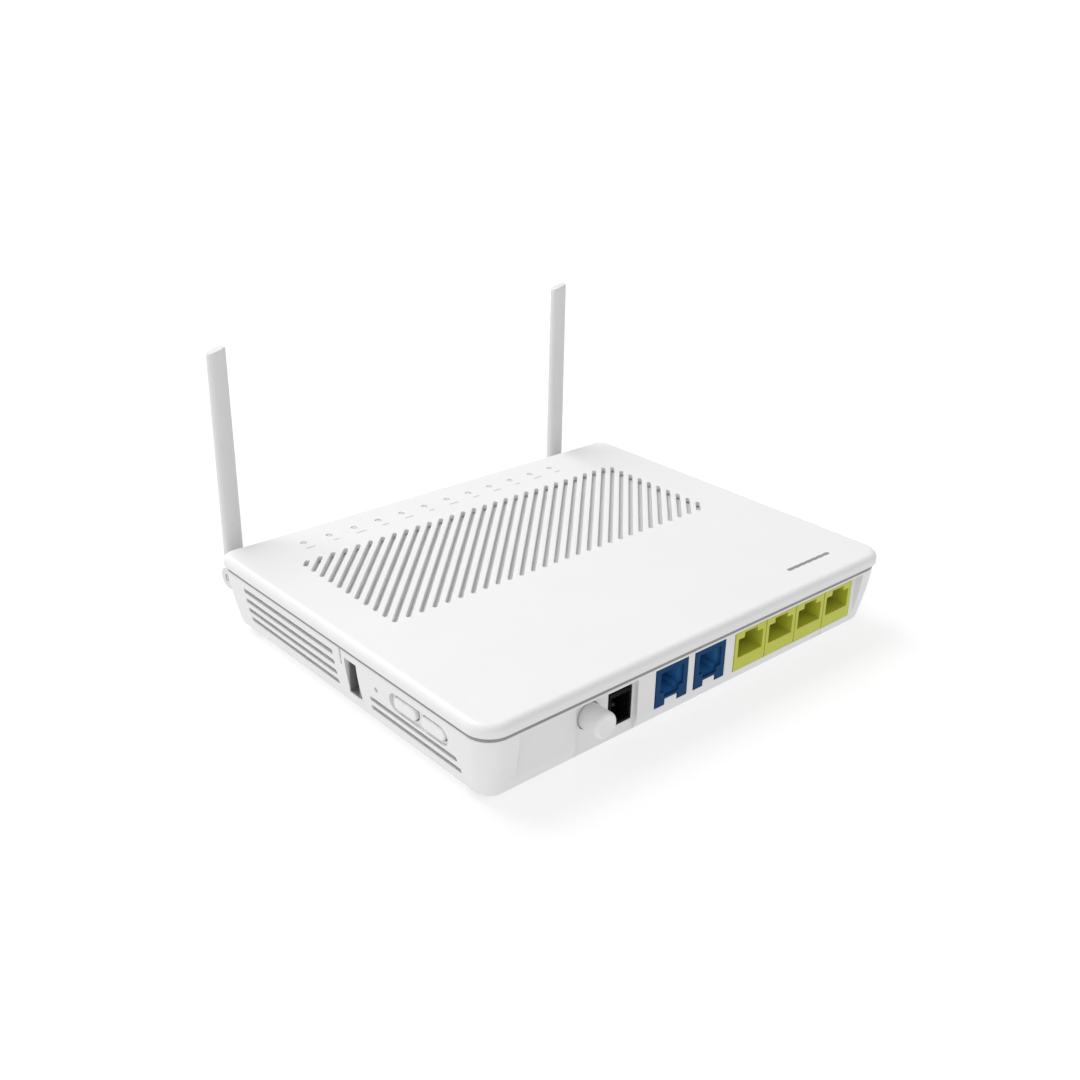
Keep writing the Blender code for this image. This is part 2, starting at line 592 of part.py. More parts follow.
def make_side_buttons(knob_plastic, switch_plastic):
    """Two pill buttons and a pin-hole button, each with its own push switch behind it."""
    for label, y in BUTTON_YS.items():
        reach = BUTTON_HALF - BUTTON_R
        steps = ((BUTTON_FACE, -0.3), (BUTTON_FACE + 0.3, 0.0), (4.4, 0.0), (4.4, 0.7), (5.2, 0.7))
        rings = [[(x, u, v) for u, v in pill(y - reach, BUTTON_Z, y + reach, BUTTON_Z, BUTTON_R + grow)]
                 for x, grow in steps]
        for x in (5.2, 7.4):
            rings.append([(x, u, v) for u, v in pill(y - 0.6, BUTTON_Z, y + 0.6, BUTTON_Z, 0.9)])
        bm = bmesh.new()
        loft(bm, rings)
        finish(label + "_button", bm, knob_plastic, (POCKET_FLOOR, y, BUTTON_Z))
        make_push_switch(label + "_switch", switch_plastic, y, BUTTON_Z, 8.4)

    profile = ((RESET_R, 2.6), (RESET_R, 4.6), (1.5, 4.6), (1.5, 5.4), (0.9, 5.4), (0.9, 7.4))
    bm = bmesh.new()
    turned(bm, RESET_Y, RESET_Z, profile, 'X', 10)
    finish("reset_button", bm, knob_plastic, (POCKET_FLOOR, RESET_Y, RESET_Z))
    make_push_switch("reset_switch", switch_plastic, RESET_Y, RESET_Z, 8.4)


def make_push_switch(name, material, y, z, face):
    bm = bmesh.new()
    box(bm, (face, face + 4.0), (y - 3.0, y + 3.0), (PART_LOW, z + 3.0))
    finish(name, bm, material)


# ---- optical port --------------------------------------------------------------------------
def make_optical_port(green, metal, ceramic, rubber):
    ys = (OPTIC_Y - OPTIC_HALF_Y, OPTIC_Y + OPTIC_HALF_Y)
    zs = (OPTIC_Z - OPTIC_HALF_Z, OPTIC_Z + OPTIC_HALF_Z)
    back = OPTIC_PLANE - OPTIC_LONG
    bm = bmesh.new()
    box(bm, (back, OPTIC_PLANE), ys, zs)
    adapter = finish("fibre_adapter", bm, green)
    bm = bmesh.new()
    box(bm, (back + 2.5, OPTIC_PLANE + 1), (OPTIC_Y - OPTIC_OPEN_Y, OPTIC_Y + OPTIC_OPEN_Y),
        (OPTIC_Z - OPTIC_OPEN_Z, OPTIC_Z + OPTIC_OPEN_Z))
    boolean(adapter, "fibre_adapter_cavity", bm, 'DIFFERENCE')

    bm = bmesh.new()
    turned(bm, OPTIC_Y, OPTIC_Z, ((1.25, back + 2.8), (1.25, back + 6.2), (0.9, back + 6.6)), 'X', 12)
    finish("fibre_ferrule", bm, ceramic, smooth=True)

    bm = bmesh.new()
    box(bm, (back - GAP - 22.0, back - GAP), (ys[0] + 0.5, ys[1] - 0.5), (PART_LOW, zs[1] - 1.5))
    finish("optical_module", bm, metal)

    half_y, half_z = OPTIC_OPEN_Y - 0.3, OPTIC_OPEN_Z - 0.3
    plug = ((OPTIC_PLANE - 6.4, -0.5), (OPTIC_PLANE - 5.9, 0.0), (OPTIC_PLANE + 0.4, 0.0),
            (OPTIC_PLANE + 0.4, 1.3), (OPTIC_PLANE + 1.6, 1.3), (OPTIC_PLANE + 1.6, -1.2),
            (OPTIC_PLANE + 3.6, -1.2))
    rings = []
    for x, grow in plug:
        a, b = half_y + grow, half_z + grow
        outline = rounded(OPTIC_Y - a, OPTIC_Y + a, OPTIC_Z - b, OPTIC_Z + b, 1.0, 2)
        rings.append([(x, u, v) for u, v in outline])
    bm = bmesh.new()
    loft(bm, rings)
    finish("dust_plug", bm, rubber, (OPTIC_PLANE, OPTIC_Y, OPTIC_Z))


# ---- antennas ------------------------------------------------------------------------------
def make_antenna(side, x, plastic, metal):
    wall = CASE_D - tray_inset(TILT_Z + SWIVEL_R)
    bush = ((SHAFT_R + 0.3, wall - 4.4), (SHAFT_R + 0.3, wall + 1.6), (SWIVEL_R - 0.4, wall + 1.6),
            (SWIVEL_R - 0.4, wall + GAP), (SHAFT_R + 1.3, wall + GAP), (SHAFT_R + 1.3, wall - 4.4))
    bm = bmesh.new()
    turned(bm, x, TILT_Z, bush, 'Y', 16, closed=True)
    finish(f"antenna_bush_{side}", bm, plastic)

    face = wall + 1.6 + GAP
    shaft = ((SHAFT_R, wall - 5.6), (SHAFT_R, face), (SWIVEL_R, face), (SWIVEL_R, face + 1.6),
             (SWIVEL_R - 0.6, face + 2.2))
    bm = bmesh.new()
    turned(bm, x, TILT_Z, shaft, 'Y', 24)
    swivel = finish(f"antenna_swivel_{side}", bm, plastic, (x, TILT_Y, TILT_Z))
    bm = bmesh.new()
    half, ear = BLADE_W / 2, 1.5
    for x0, x1 in ((x - half, x - half + ear), (x + half - ear, x + half)):
        outline = [(face + 1.2, TILT_Z - EAR_R)]
        for k in range(9):
            angle = math.radians(-90 + 22.5 * k)
            outline.append((TILT_Y + EAR_R * math.cos(angle), TILT_Z + EAR_R * math.sin(angle)))
        outline.append((face + 1.2, TILT_Z + EAR_R))
        prism(bm, outline, 'X', x0, x1)
    boolean(swivel, f"swivel_ears_{side}", bm, 'UNION')
    bm = bmesh.new()
    rod(bm, TILT_Y, TILT_Z, 1.25, 'X', x - half - 1, x + half + 1, 12)
    boolean(swivel, f"swivel_bore_{side}", bm, 'DIFFERENCE')

    bm = bmesh.new()
    rod(bm, TILT_Y, TILT_Z, 1.0, 'X', x - half + 0.2, x + half - 0.2, 12)
    finish(f"antenna_pin_{side}", bm, metal, (x, TILT_Y, TILT_Z))
    make_blade(side, x, plastic)


def make_blade(side, x, plastic):
    """A flat tapering paddle with a slanted tip and a hinge eye between the swivel's ears."""
    half_w, half_t = BLADE_W / 2, BLADE_T / 2
    shoulder = TILT_Z + BLADE_START
    levels = ((shoulder, 0.45), (shoulder + 0.6, 0.0), (55.0, 0.05), (BLADE_TOP - 0.6, 0.15), (BLADE_TOP, 0.6))
    rings = []
    for z, inset in levels:
        outline = superellipse(x, TILT_Y, half_w - inset, half_t - inset)
        slant = BLADE_SLANT if z > BLADE_TOP - 1 else 0.0
        rings.append([(u, v, z - slant * (x + half_w - u) / BLADE_W) for u, v in outline])
    bm = bmesh.new()
    loft(bm, rings)
    blade = finish(f"antenna_blade_{side}", bm, plastic, (x, TILT_Y, TILT_Z))
    eye = half_w - 1.5 - GAP
    outline = [(TILT_Y + half_t - 0.3, shoulder + 1.5), (TILT_Y - half_t + 0.3, shoulder + 1.5)]
    radius = EAR_R - 0.6
    for k in range(11):
        angle = math.radians(160 + 22 * k)
        outline.append((TILT_Y + radius * math.cos(angle), TILT_Z + radius * math.sin(angle)))
    bm = bmesh.new()
    prism(bm, outline, 'X', x - eye, x + eye)
    boolean(blade, f"blade_eye_{side}", bm, 'UNION')
    bm = bmesh.new()
    rod(bm, TILT_Y, TILT_Z, 1.25, 'X', x - eye - 1, x + eye + 1, 12)
    boolean(blade, f"blade_bore_{side}", bm, 'DIFFERENCE')


# ---- board, chips and fixings -------------------------------------------------------------
def make_board(laminate):
    left, right, front, rear = 7.2, 168.8, 6.4, 132.8
    notch = 10.0
    outline = ((left + notch, front), (right - notch, front), (right - notch, front + notch + 1),
               (right, front + notch + 1), (right, rear - notch - 1), (right - notch, rear - notch - 1),
               (right - notch, rear), (left + notch, rear), (left + notch, rear - notch - 1),
               (left, rear - notch - 1), (left, front + notch + 1), (left + notch, front + notch + 1))
    bm = bmesh.new()
    prism(bm, outline, 'Z', BOARD_LOW, BOARD_HIGH)
    board = finish("circuit_board", bm, laminate)
    bm = bmesh.new()
    for x, y in BOARD_POSTS:
        rod(bm, x, y, 1.6, 'Z', BOARD_LOW - 1, BOARD_HIGH + 1, 8)
    boolean(board, "board_holes", bm, 'DIFFERENCE')


def make_chips(materials):
    """Each block is (name, material, x range, y range, bottom, top)."""
    low = PART_LOW
    blocks = (("main_processor", "epoxy", (76, 100), (68, 92), low, low + 2.0),
              ("memory_chip", "epoxy", (106, 119), (72, 84), low, low + 1.2),
              ("wireless_shield", "tin", (28, 60), (82, 108), low, low + 3.2),
              ("lan_transformer_1", "epoxy", (104, 130), (25, 34), low, low + 6.0),
              ("lan_transformer_2", "epoxy", (134, 160), (25, 34), low, low + 6.0),
              ("power_inductor", "ferrite", (44, 56), (26, 38), low, low + 6.0))
    for name, material, xs, ys, z0, z1 in blocks:
        bm = bmesh.new()
        box(bm, xs, ys, (z0, z1))
        finish(name, bm, materials[material])

    for k, y in enumerate((44.0, 56.0)):
        profile = ((3.6, low), (4.0, low + 0.4), (4.0, low + 1.6), (3.7, low + 2.0), (4.0, low + 2.4),
                   (4.0, low + 11.2), (3.6, low + 11.6))
        bm = bmesh.new()
        turned(bm, 50.0, y, profile, 'Z', 16)
        finish(f"smoothing_capacitor_{k + 1}", bm, materials["sleeve"], smooth=True)


def make_heat_sink(metal):
    """A finned block on the processor, drawn as one comb outline."""
    x0, x1, y0, y1 = 74.0, 102.0, 66.0, 94.0
    base = PART_LOW + 2.0 + GAP
    plate, top, fins, fin = base + 2.0, base + 9.0, 8, 1.2
    pitch = (x1 - x0 - fin) / (fins - 1)
    outline = [(x1, base), (x0, base)]
    for k in range(fins):
        left = x0 + pitch * k
        if k:
            outline.append((left, plate))
        outline += [(left, top), (left + fin, top)]
        if k < fins - 1:
            outline.append((left + fin, plate))
    bm = bmesh.new()
    prism(bm, outline, 'Y', y0, y1)
    finish("heat_sink", bm, metal)


def make_fixings(steel, rubber, paper):
    for k, (x, y) in enumerate(CASE_POSTS):
        profile = ((2.7, 3.2), (2.7, 4.6), (1.3, 5.3), (1.3, 16.5), (0.6, 17.4))
        bm = bmesh.new()
        turned(bm, x, y, profile, 'Z', 12)
        finish(f"case_screw_{k + 1}", bm, steel)
    for k, (x, y) in enumerate(BOARD_POSTS):
        profile = ((1.1, 2.8), (1.1, PART_LOW), (2.5, PART_LOW), (2.5, PART_LOW + 1.2), (1.9, PART_LOW + 1.8))
        bm = bmesh.new()
        turned(bm, x, y, profile, 'Z', 10)
        finish(f"board_screw_{k + 1}", bm, steel)
    for k, (x, y) in enumerate(FEET):
        profile = ((FOOT_R - 0.5, 0.0), (FOOT_R, 0.5), (FOOT_R, 2.9 - GAP))
        bm = bmesh.new()
        turned(bm, x, y, profile, 'Z', 20)
        finish(f"foot_{k + 1}", bm, rubber)
    bm = bmesh.new()
    box(bm, (LABEL[0] + GAP, LABEL[1] - GAP), (LABEL[2] + GAP, LABEL[3] - GAP), (1.95, 2.1))
    finish("rating_label", bm, paper)


def build():
    clear_scene()
    white = make_material("white_case", (0.86, 0.86, 0.86), 0.45)
    antenna_white = make_material("antenna_white", (0.78, 0.78, 0.78), 0.5)
    button_white = make_material("button_white", (0.84, 0.84, 0.84), 0.4)
    yellow = make_material("yellow_jack", (0.45, 0.47, 0.05), 0.5)
    blue = make_material("blue_jack", (0.02, 0.07, 0.22), 0.5)
    black = make_material("black_plastic", (0.012, 0.012, 0.012), 0.5)
    green = make_material("green_adapter", (0.03, 0.25, 0.09), 0.45)
    laminate = make_material("board_laminate", (0.02, 0.12, 0.05), 0.5)
    gold = make_material("gold_contact", (0.75, 0.55, 0.22), 0.3, 1.0)
    tin = make_material("tinned_steel", (0.6, 0.6, 0.6), 0.35, 1.0)
    aluminium = make_material("aluminium", (0.7, 0.7, 0.7), 0.4, 1.0)
    ceramic = make_material("ferrule_ceramic", (0.85, 0.83, 0.78), 0.3)
    rubber = make_material("grey_rubber", (0.25, 0.25, 0.25), 0.8)
    lens = make_material("clear_lens", (0.8, 0.8, 0.78), 0.2)
    paper = make_material("label_paper", (0.8, 0.8, 0.78), 0.6)
    sleeve = make_material("capacitor_sleeve", (0.03, 0.03, 0.05), 0.4)
    ferrite = make_material("ferrite", (0.06, 0.06, 0.06), 0.7)

    make_cover(white)
    make_vent_screen(white)
    make_light_pipe(lens)
    make_tray(white)
    make_lan_jacks(yellow, gold)
    make_phone_jacks(blue, gold)
    make_power_socket(black, tin)
    make_power_switch(black, button_white)
    make_usb(tin, black)
    make_side_buttons(button_white, black)
    make_optical_port(green, tin, ceramic, rubber)
    for side, x in ANTENNAS.items():
        make_antenna(side, x, antenna_white, tin)
    make_board(laminate)
    make_chips({"epoxy": black, "tin": tin, "sleeve": sleeve, "ferrite": ferrite})
    make_heat_sink(aluminium)
    make_fixings(tin, rubber, paper)


build()
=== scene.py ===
"""Looks of the optical network terminal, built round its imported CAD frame.

Lengths are in millimetres, measured from the case's left edge (x), from the cover's edge above
the sockets (y) and from the surface it stands on (z). place() turns them into the frame's metres.
"""
import json
import math

import bmesh
import bpy
from mathutils import Matrix, Vector


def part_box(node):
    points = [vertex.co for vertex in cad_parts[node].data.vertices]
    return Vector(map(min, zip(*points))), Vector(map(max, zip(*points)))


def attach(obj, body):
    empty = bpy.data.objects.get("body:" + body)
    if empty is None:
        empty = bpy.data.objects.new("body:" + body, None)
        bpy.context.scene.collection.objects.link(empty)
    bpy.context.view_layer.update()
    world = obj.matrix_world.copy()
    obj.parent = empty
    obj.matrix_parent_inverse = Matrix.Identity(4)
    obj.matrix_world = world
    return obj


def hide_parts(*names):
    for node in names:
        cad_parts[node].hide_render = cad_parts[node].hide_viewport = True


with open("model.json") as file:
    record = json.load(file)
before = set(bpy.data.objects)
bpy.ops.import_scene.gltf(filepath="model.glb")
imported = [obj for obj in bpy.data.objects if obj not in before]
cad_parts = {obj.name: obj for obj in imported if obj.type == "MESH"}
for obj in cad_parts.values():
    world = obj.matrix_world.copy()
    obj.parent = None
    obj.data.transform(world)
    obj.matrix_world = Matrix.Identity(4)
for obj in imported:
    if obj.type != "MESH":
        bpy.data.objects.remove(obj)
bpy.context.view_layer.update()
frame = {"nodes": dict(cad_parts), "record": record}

MM = 0.001
EDGE_ANGLE, ROUND_ANGLE = 35, 50     # degrees; sharper edges are rounded or kept crisp
COVER_LOW, COVER_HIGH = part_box("top_cover")
CASE_W = (COVER_HIGH.x - COVER_LOW.x) / MM
CASE_D = (COVER_HIGH.y - COVER_LOW.y) / MM
CASE_H = COVER_HIGH.z / MM

# ---- case ----------------------------------------------------------------------------------
CASE_CORNER, REAR_CORNER = 8.0, 4.5
CORNER_STEPS = 14
SEAM_LOW, SEAM_HIGH = 22.5, 24.1
COVER_EDGE = 2.2
COVER_TOP = 1.8
SKIRT = 2.0
TRAY_BOTTOM, TRAY_FLOOR = 2.0, 3.4
TRAY_RIM_INSET, TRAY_DRAFT = 0.9, 3.4
TRAY_FOOT_ROUND = 1.8
TRAY_WALL = 2.0
TONGUE_OUT, TONGUE_IN, TONGUE_TOP = 2.4, 3.4, 25.2
GAP = 0.3

# ---- socket side ---------------------------------------------------------------------------
PORT_PLANE, PORT_INNER = 3.2, 6.0
BAY_LEFT, BAY_RIGHT, BAY_PLANE = 35.2, 59.8, 4.8
PORT_LEFT, PORT_RIGHT, PORT_TOP = 12.8, 165.0, 21.8
JACK_FACE = 3.0
JACK_BOTTOM, JACK_TOP = 6.4, 19.9
LAN_COUNT = 4
LAN_LEFT, LAN_RIGHT = 102.6, 162.2
LAN_DEPTH, LAN_CAVITY = 18.0, 12.0
LAN_FLOOR, LAN_SHOULDER, LAN_NOTCH_TOP = 10.8, 17.3, 19.0
LAN_HALF, LAN_NOTCH_HALF = 5.9, 3.1
PHONE_CENTRES = (74.1, 91.0)
PHONE_HALF, PHONE_BOTTOM = 6.8, 7.0
PHONE_DEPTH, PHONE_CAVITY = 15.0, 11.0
PHONE_FLOOR, PHONE_SHOULDER, PHONE_TOP = 9.8, 11.5, 18.2
PHONE_OPEN_HALF, PHONE_NOTCH_HALF = 4.9, 3.1
PHONE_TAB_HALF, PHONE_TAB_TOP = 2.6, 8.7
POWER_LEFT, POWER_RIGHT, POWER_BOTTOM, POWER_TOP = 49.5, 58.6, 6.7, 17.9
POWER_FACE, POWER_DEPTH, POWER_CAVITY, POWER_WALL, POWER_LATCH = 4.6, 12.0, 9.0, 0.8, 1.6
KNOB_X, KNOB_Z, KNOB_R, KNOB_OUT = 41.6, 14.4, 4.1, 6.0

# ---- left side -----------------------------------------------------------------------------
SLOT_H = 1.7
REAR_SLOTS = ((19.1, 73.3, 126.3), (15.5, 73.1, 125.9), (11.9, 73.0, 125.8), (8.4, 73.0, 125.4))
FRONT_SLOTS = ((11.3, 14.6, 55.8), (7.9, 13.5, 56.2))
RIGHT_SLOTS = ((16.0, 50.0), (92.0, 124.0))      # along y, at the rear slots' heights
BACK_SLOTS = ((34.0, 78.0), (98.0, 142.0))       # along x
GROOVE_Y, GROOVE_HALF = 69.1, 0.5
USB_Y, USB_Z, USB_W, USB_H = 64.0, 14.0, 5.6, 11.8
USB_FACE, USB_LONG, USB_SHEET = 2.4, 13.8, 0.4
BUTTON_Z, BUTTON_FACE, BUTTON_GAP = 16.5, 1.5, 0.5
POCKET_FLOOR, POCKET_R, POCKET_REACH = 2.7, 3.3, 3.8
BUTTON_YS = {"wps": 24.6, "wlan": 37.6}
BUTTON_HALF, BUTTON_R = 5.4, 2.0
RESET_Y, RESET_Z, RESET_R = 51.4, 16.3, 0.6

# ---- top -----------------------------------------------------------------------------------
VENT_X, VENT_Y = (16.5, 157.5), (63.5, 116.5)
VENT_PITCH, VENT_PHASE, VENT_SLOT = 4.98, -1.8, 1.5
LED_COUNT, LED_FIRST, LED_PITCH = 12, 26.0, 10.1
LED_Y, LED_R = 129.0, 0.9

# ---- optical port, antennas, underside ----------------------------------------------------
OPTIC_Y, OPTIC_Z, OPTIC_PLANE = 70.0, 13.6, 171.4
OPTIC_LONG, OPTIC_HALF_Y, OPTIC_HALF_Z = 21.0, 6.3, 5.0
OPTIC_OPEN_Y, OPTIC_OPEN_Z = 4.5, 3.7
RECESS_HALF, RECESS_BOTTOM, RECESS_TOP = 12.0, 6.0, 20.6
ANTENNAS = {"left": 9.3, "right": 156.0}
TILT_Y, TILT_Z, EAR_R, PIN_R = 147.2, 14.0, 3.5, 1.25
BLADE_W, BLADE_T, BLADE_START = 6.6, 4.2, 4.3
BLADE_TOP, BLADE_SLANT = 94.6, 1.7
SWIVEL_R, SHAFT_R = 4.8, 2.0
CASE_POSTS = ((8.4, 11.5), (167.6, 11.5), (8.4, 128.5), (167.6, 128.5))
FEET = ((26.0, 18.5), (150.0, 18.5), (26.0, 121.5), (150.0, 121.5))
FOOT_R, FOOT_POCKET, POST_TOP = 5.0, 2.9, 9.0
LABEL = (58.0, 118.0, 84.0, 114.0)
KEYHOLES, KEYHOLE_Y = (44.0, 132.0), 62.0
KEYHOLE_R, KEYHOLE_NECK, KEYHOLE_REACH = 4.0, 1.9, 9.0
BOTTOM_CUT = 4.5                # how high the cuts through the floor go
BOTTOM_VENT_ROWS, BOTTOM_VENT_COUNT, BOTTOM_VENT_X = (34.0, 54.0), 9, 64.0
BOTTOM_VENT_PITCH, BOTTOM_VENT_LONG, BOTTOM_VENT_R = 6.0, 13.0, 1.2


def place(point):
    return Vector((COVER_LOW.x + point[0] * MM, COVER_LOW.y + point[1] * MM, point[2] * MM))


# ---- camera and studio ---------------------------------------------------------------------
CAMERA_PLACE = Vector((-0.25736, -0.28269, 0.20559))
CAMERA_HEADING, CAMERA_DIP, CAMERA_ROLL = 41.834, 24.585, 1.235   # degrees
CAMERA_LENS, CAMERA_SENSOR = 41.61, 36.0


def make_camera():
    heading, dip, roll = (math.radians(a) for a in (CAMERA_HEADING, CAMERA_DIP, CAMERA_ROLL))
    forward = Vector((math.sin(heading) * math.cos(dip), math.cos(heading) * math.cos(dip), -math.sin(dip)))
    level = Vector((math.cos(heading), -math.sin(heading), 0.0))
    right = level * math.cos(roll) + level.cross(forward) * math.sin(roll)
    axes = Matrix((right, right.cross(forward), -forward)).transposed()
    data = bpy.data.cameras.new("camera")
    data.lens = CAMERA_LENS
    data.sensor_width = CAMERA_SENSOR
    camera = bpy.data.objects.new("camera", data)
    camera.matrix_world = Matrix.Translation(CAMERA_PLACE) @ axes.to_4x4()
    bpy.context.scene.collection.objects.link(camera)
    bpy.context.scene.camera = camera


def make_light(name, heading, height, distance, size, power):
    """A square soft box that looks at the case; heading 0 is behind it and 90 is to its right."""
    data = bpy.data.lights.new(name, 'AREA')
    data.shape = 'SQUARE'
    data.size = size
    data.energy = power
    light = bpy.data.objects.new(name, data)
    a, b = math.radians(heading), math.radians(height)
    light.location = Vector((math.sin(a) * math.cos(b), math.cos(a) * math.cos(b), math.sin(b))) * distance
    light.rotation_euler = (-light.location).to_track_quat('-Z', 'Y').to_euler()
    bpy.context.scene.collection.objects.link(light)


SKY, SKYLINE = 0.61, 1.0        # the world's strength overhead and at the horizon
SKYLINE_TO, SKY_FROM = 0.05, 0.15   # heights on the unit sphere between which it changes
# heading and height in degrees, distance and size in metres, power in watts
KEY_LIGHT = (-105.0, 30.0, 1.6, 0.9, 3.3)
TOP_LIGHT = (-15.0, 55.0, 2.4, 1.6, 43.0)
FLOOR_RADIUS = 14.0
FLOOR_TONE, NEAR_GLOW, FAR_GLOW = 0.3, 0.70, 0.95
GLOW_FROM, GLOW_FULL = 0.35, 1.6    # metres from the case between which the paper's own glow grows


def texture_coordinates(tree, kind, output):
    """A node of a kind that reads one of the texture coordinates."""
    coords = tree.nodes.new("ShaderNodeTexCoord")
    node = tree.nodes.new(kind)
    tree.links.new(coords.outputs[output], node.inputs[0])
    return node


def make_floor():
    bm = bmesh.new()
    bmesh.ops.create_circle(bm, cap_ends=True, radius=FLOOR_RADIUS, segments=96)
    mesh = bpy.data.meshes.new("floor")
    bm.to_mesh(mesh)
    bm.free()
    floor = bpy.data.objects.new("floor", mesh)
    bpy.context.scene.collection.objects.link(floor)
    mat = bpy.data.materials.new("floor_paper")
    mat.use_nodes = True
    shader = mat.node_tree.nodes["Principled BSDF"]
    shader.inputs["Base Color"].default_value = (FLOOR_TONE, FLOOR_TONE, FLOOR_TONE, 1.0)
    shader.inputs["Roughness"].default_value = 0.9
    shader.inputs["Specular IOR Level"].default_value = 0.0
    shader.inputs["Emission Color"].default_value = (1.0, 1.0, 1.0, 1.0)
    away = texture_coordinates(mat.node_tree, "ShaderNodeVectorMath", "Object")
    away.operation = 'LENGTH'
    glow = remap(mat.node_tree, away.outputs["Value"], NEAR_GLOW, FAR_GLOW, GLOW_FROM, GLOW_FULL)
    mat.node_tree.links.new(glow, shader.inputs["Emission Strength"])
    mesh.materials.append(mat)


def make_studio():
    bpy.context.scene.view_settings.view_transform = 'Standard'
    world = bpy.data.worlds.new("studio")
    world.use_nodes = True
    world.node_tree.nodes["Background"].inputs["Color"].default_value = (1.0, 1.0, 1.0, 1.0)
    height = texture_coordinates(world.node_tree, "ShaderNodeSeparateXYZ", "Generated")
    strength = remap(world.node_tree, height.outputs["Z"], SKYLINE, SKY, SKYLINE_TO, SKY_FROM)
    world.node_tree.links.new(strength, world.node_tree.nodes["Background"].inputs["Strength"])
    bpy.context.scene.world = world
    make_light("key_light", *KEY_LIGHT)
    make_light("top_light", *TOP_LIGHT)
    make_floor()


# ---- materials -----------------------------------------------------------------------------
def new_material(name, roughness, metallic=0.0, **fixed):
    mat = bpy.data.materials.new(name)
    mat.use_nodes = True
    shader = mat.node_tree.nodes["Principled BSDF"]
    shader.inputs["Roughness"].default_value = roughness
    shader.inputs["Metallic"].default_value = metallic
    for socket, value in fixed.items():
        shader.inputs[socket.replace("_", " ")].default_value = value
    return mat, mat.node_tree, shader


def texture(tree, kind, scale, stretch=(1.0, 1.0, 1.0), **settings):
    """A texture read in the frame's own coordinates; its size is 1/scale in metres."""
    coords = tree.nodes.new("ShaderNodeTexCoord")
    mapping = tree.nodes.new("ShaderNodeMapping")
    mapping.inputs["Scale"].default_value = stretch
    node = tree.nodes.new(kind)
    node.inputs["Scale"].default_value = scale
    for socket, value in settings.items():
        node.inputs[socket.replace("_", " ")].default_value = value
    tree.links.new(coords.outputs["Object"], mapping.inputs["Vector"])
    tree.links.new(mapping.outputs["Vector"], node.inputs["Vector"])
    return node


def ramp(tree, source, stops):
    """Colours at places from 0 to 1 along a texture's value."""
    node = tree.nodes.new("ShaderNodeValToRGB")
    elements = node.color_ramp.elements
    while len(elements) < len(stops):
        elements.new(0.5)
    for element, (at, colour) in zip(elements, stops):
        element.position = at
        element.color = (*colour, 1.0)
    tree.links.new(source, node.inputs["Fac"])
    return node.outputs["Color"]


def remap(tree, source, low, high, start=0.0, end=1.0):
    node = tree.nodes.new("ShaderNodeMapRange")
    node.inputs["From Min"].default_value = start
    node.inputs["From Max"].default_value = end
    node.inputs["To Min"].default_value = low
    node.inputs["To Max"].default_value = high
    tree.links.new(source, node.inputs["Value"])
    return node.outputs["Result"]


def bump(tree, shader, source, height, strength=1.0):
    node = tree.nodes.new("ShaderNodeBump")
    node.inputs["Strength"].default_value = strength
    node.inputs["Distance"].default_value = height * MM
    tree.links.new(source, node.inputs["Height"])
    tree.links.new(node.outputs["Normal"], shader.inputs["Normal"])


def shade(colour, factor):
    return tuple(c * factor for c in colour)


def moulded_plastic(name, colour, roughness, grain=2200.0, relief=0.012, mottle=0.03, **fixed):
    """Spark-eroded moulded plastic: fine grain, faint flow mottling, gloss that varies with the grain."""
    mat, tree, shader = new_material(name, roughness, **fixed)
    flow = texture(tree, "ShaderNodeTexNoise", 55.0, (1.0, 1.0, 2.5), Detail=3.0)
    tone = ramp(tree, flow.outputs["Fac"], ((0.3, shade(colour, 1 - mottle)), (0.7, colour)))
    tree.links.new(tone, shader.inputs["Base Color"])
    fine = texture(tree, "ShaderNodeTexNoise", grain, Detail=2.0, Roughness=0.6)
    gloss = remap(tree, fine.outputs["Fac"], roughness - 0.07, roughness + 0.09)
    tree.links.new(gloss, shader.inputs["Roughness"])
    bump(tree, shader, fine.outputs["Fac"], relief, 0.6)
    return mat


def rolled_metal(name, colour, roughness, stretch=(1.0, 12.0, 12.0), metallic=1.0):
    """Sheet or plated metal with fine lines along one axis; dull plating is less metallic."""
    mat, tree, shader = new_material(name, roughness, metallic)
    lines = texture(tree, "ShaderNodeTexNoise", 900.0, stretch, Detail=4.0)
    tone = ramp(tree, lines.outputs["Fac"], ((0.3, shade(colour, 0.82)), (0.7, colour)))
    tree.links.new(tone, shader.inputs["Base Color"])
    tree.links.new(remap(tree, lines.outputs["Fac"], roughness - 0.1, roughness + 0.15), shader.inputs["Roughness"])
    bump(tree, shader, lines.outputs["Fac"], 0.004, 0.5)
    return mat


def painted_light_blue_plastic(name, colour, inside):
    """Blue plastic with painted light: its cavity walls are painted a lighter blue than its front face."""
    mat = moulded_plastic(name, colour, 0.5, 1500.0, Specular_IOR_Level=0.05)
    tree = mat.node_tree
    shader = tree.nodes["Principled BSDF"]
    front = shader.inputs["Base Color"].links[0].from_socket
    position = texture_coordinates(tree, "ShaderNodeSeparateXYZ", "Object")
    start, full = (place((0.0, JACK_FACE + depth, 0.0)).y for depth in (0.4, 2.0))
    # painted light: the blue turns lighter from 0.4 to 2 mm behind the front face, standing in for light on the
    # cavity walls
    depth = remap(tree, position.outputs["Y"], 0.0, 1.0, start, full)
    cavity_light_mix = tree.nodes.new("ShaderNodeMix")
    cavity_light_mix.data_type = 'RGBA'
    cavity_light_mix.inputs["B"].default_value = (*inside, 1.0)
    tree.links.new(depth, cavity_light_mix.inputs["Factor"])
    tree.links.new(front, cavity_light_mix.inputs["A"])
    tree.links.new(cavity_light_mix.outputs["Result"], shader.inputs["Base Color"])
    return mat


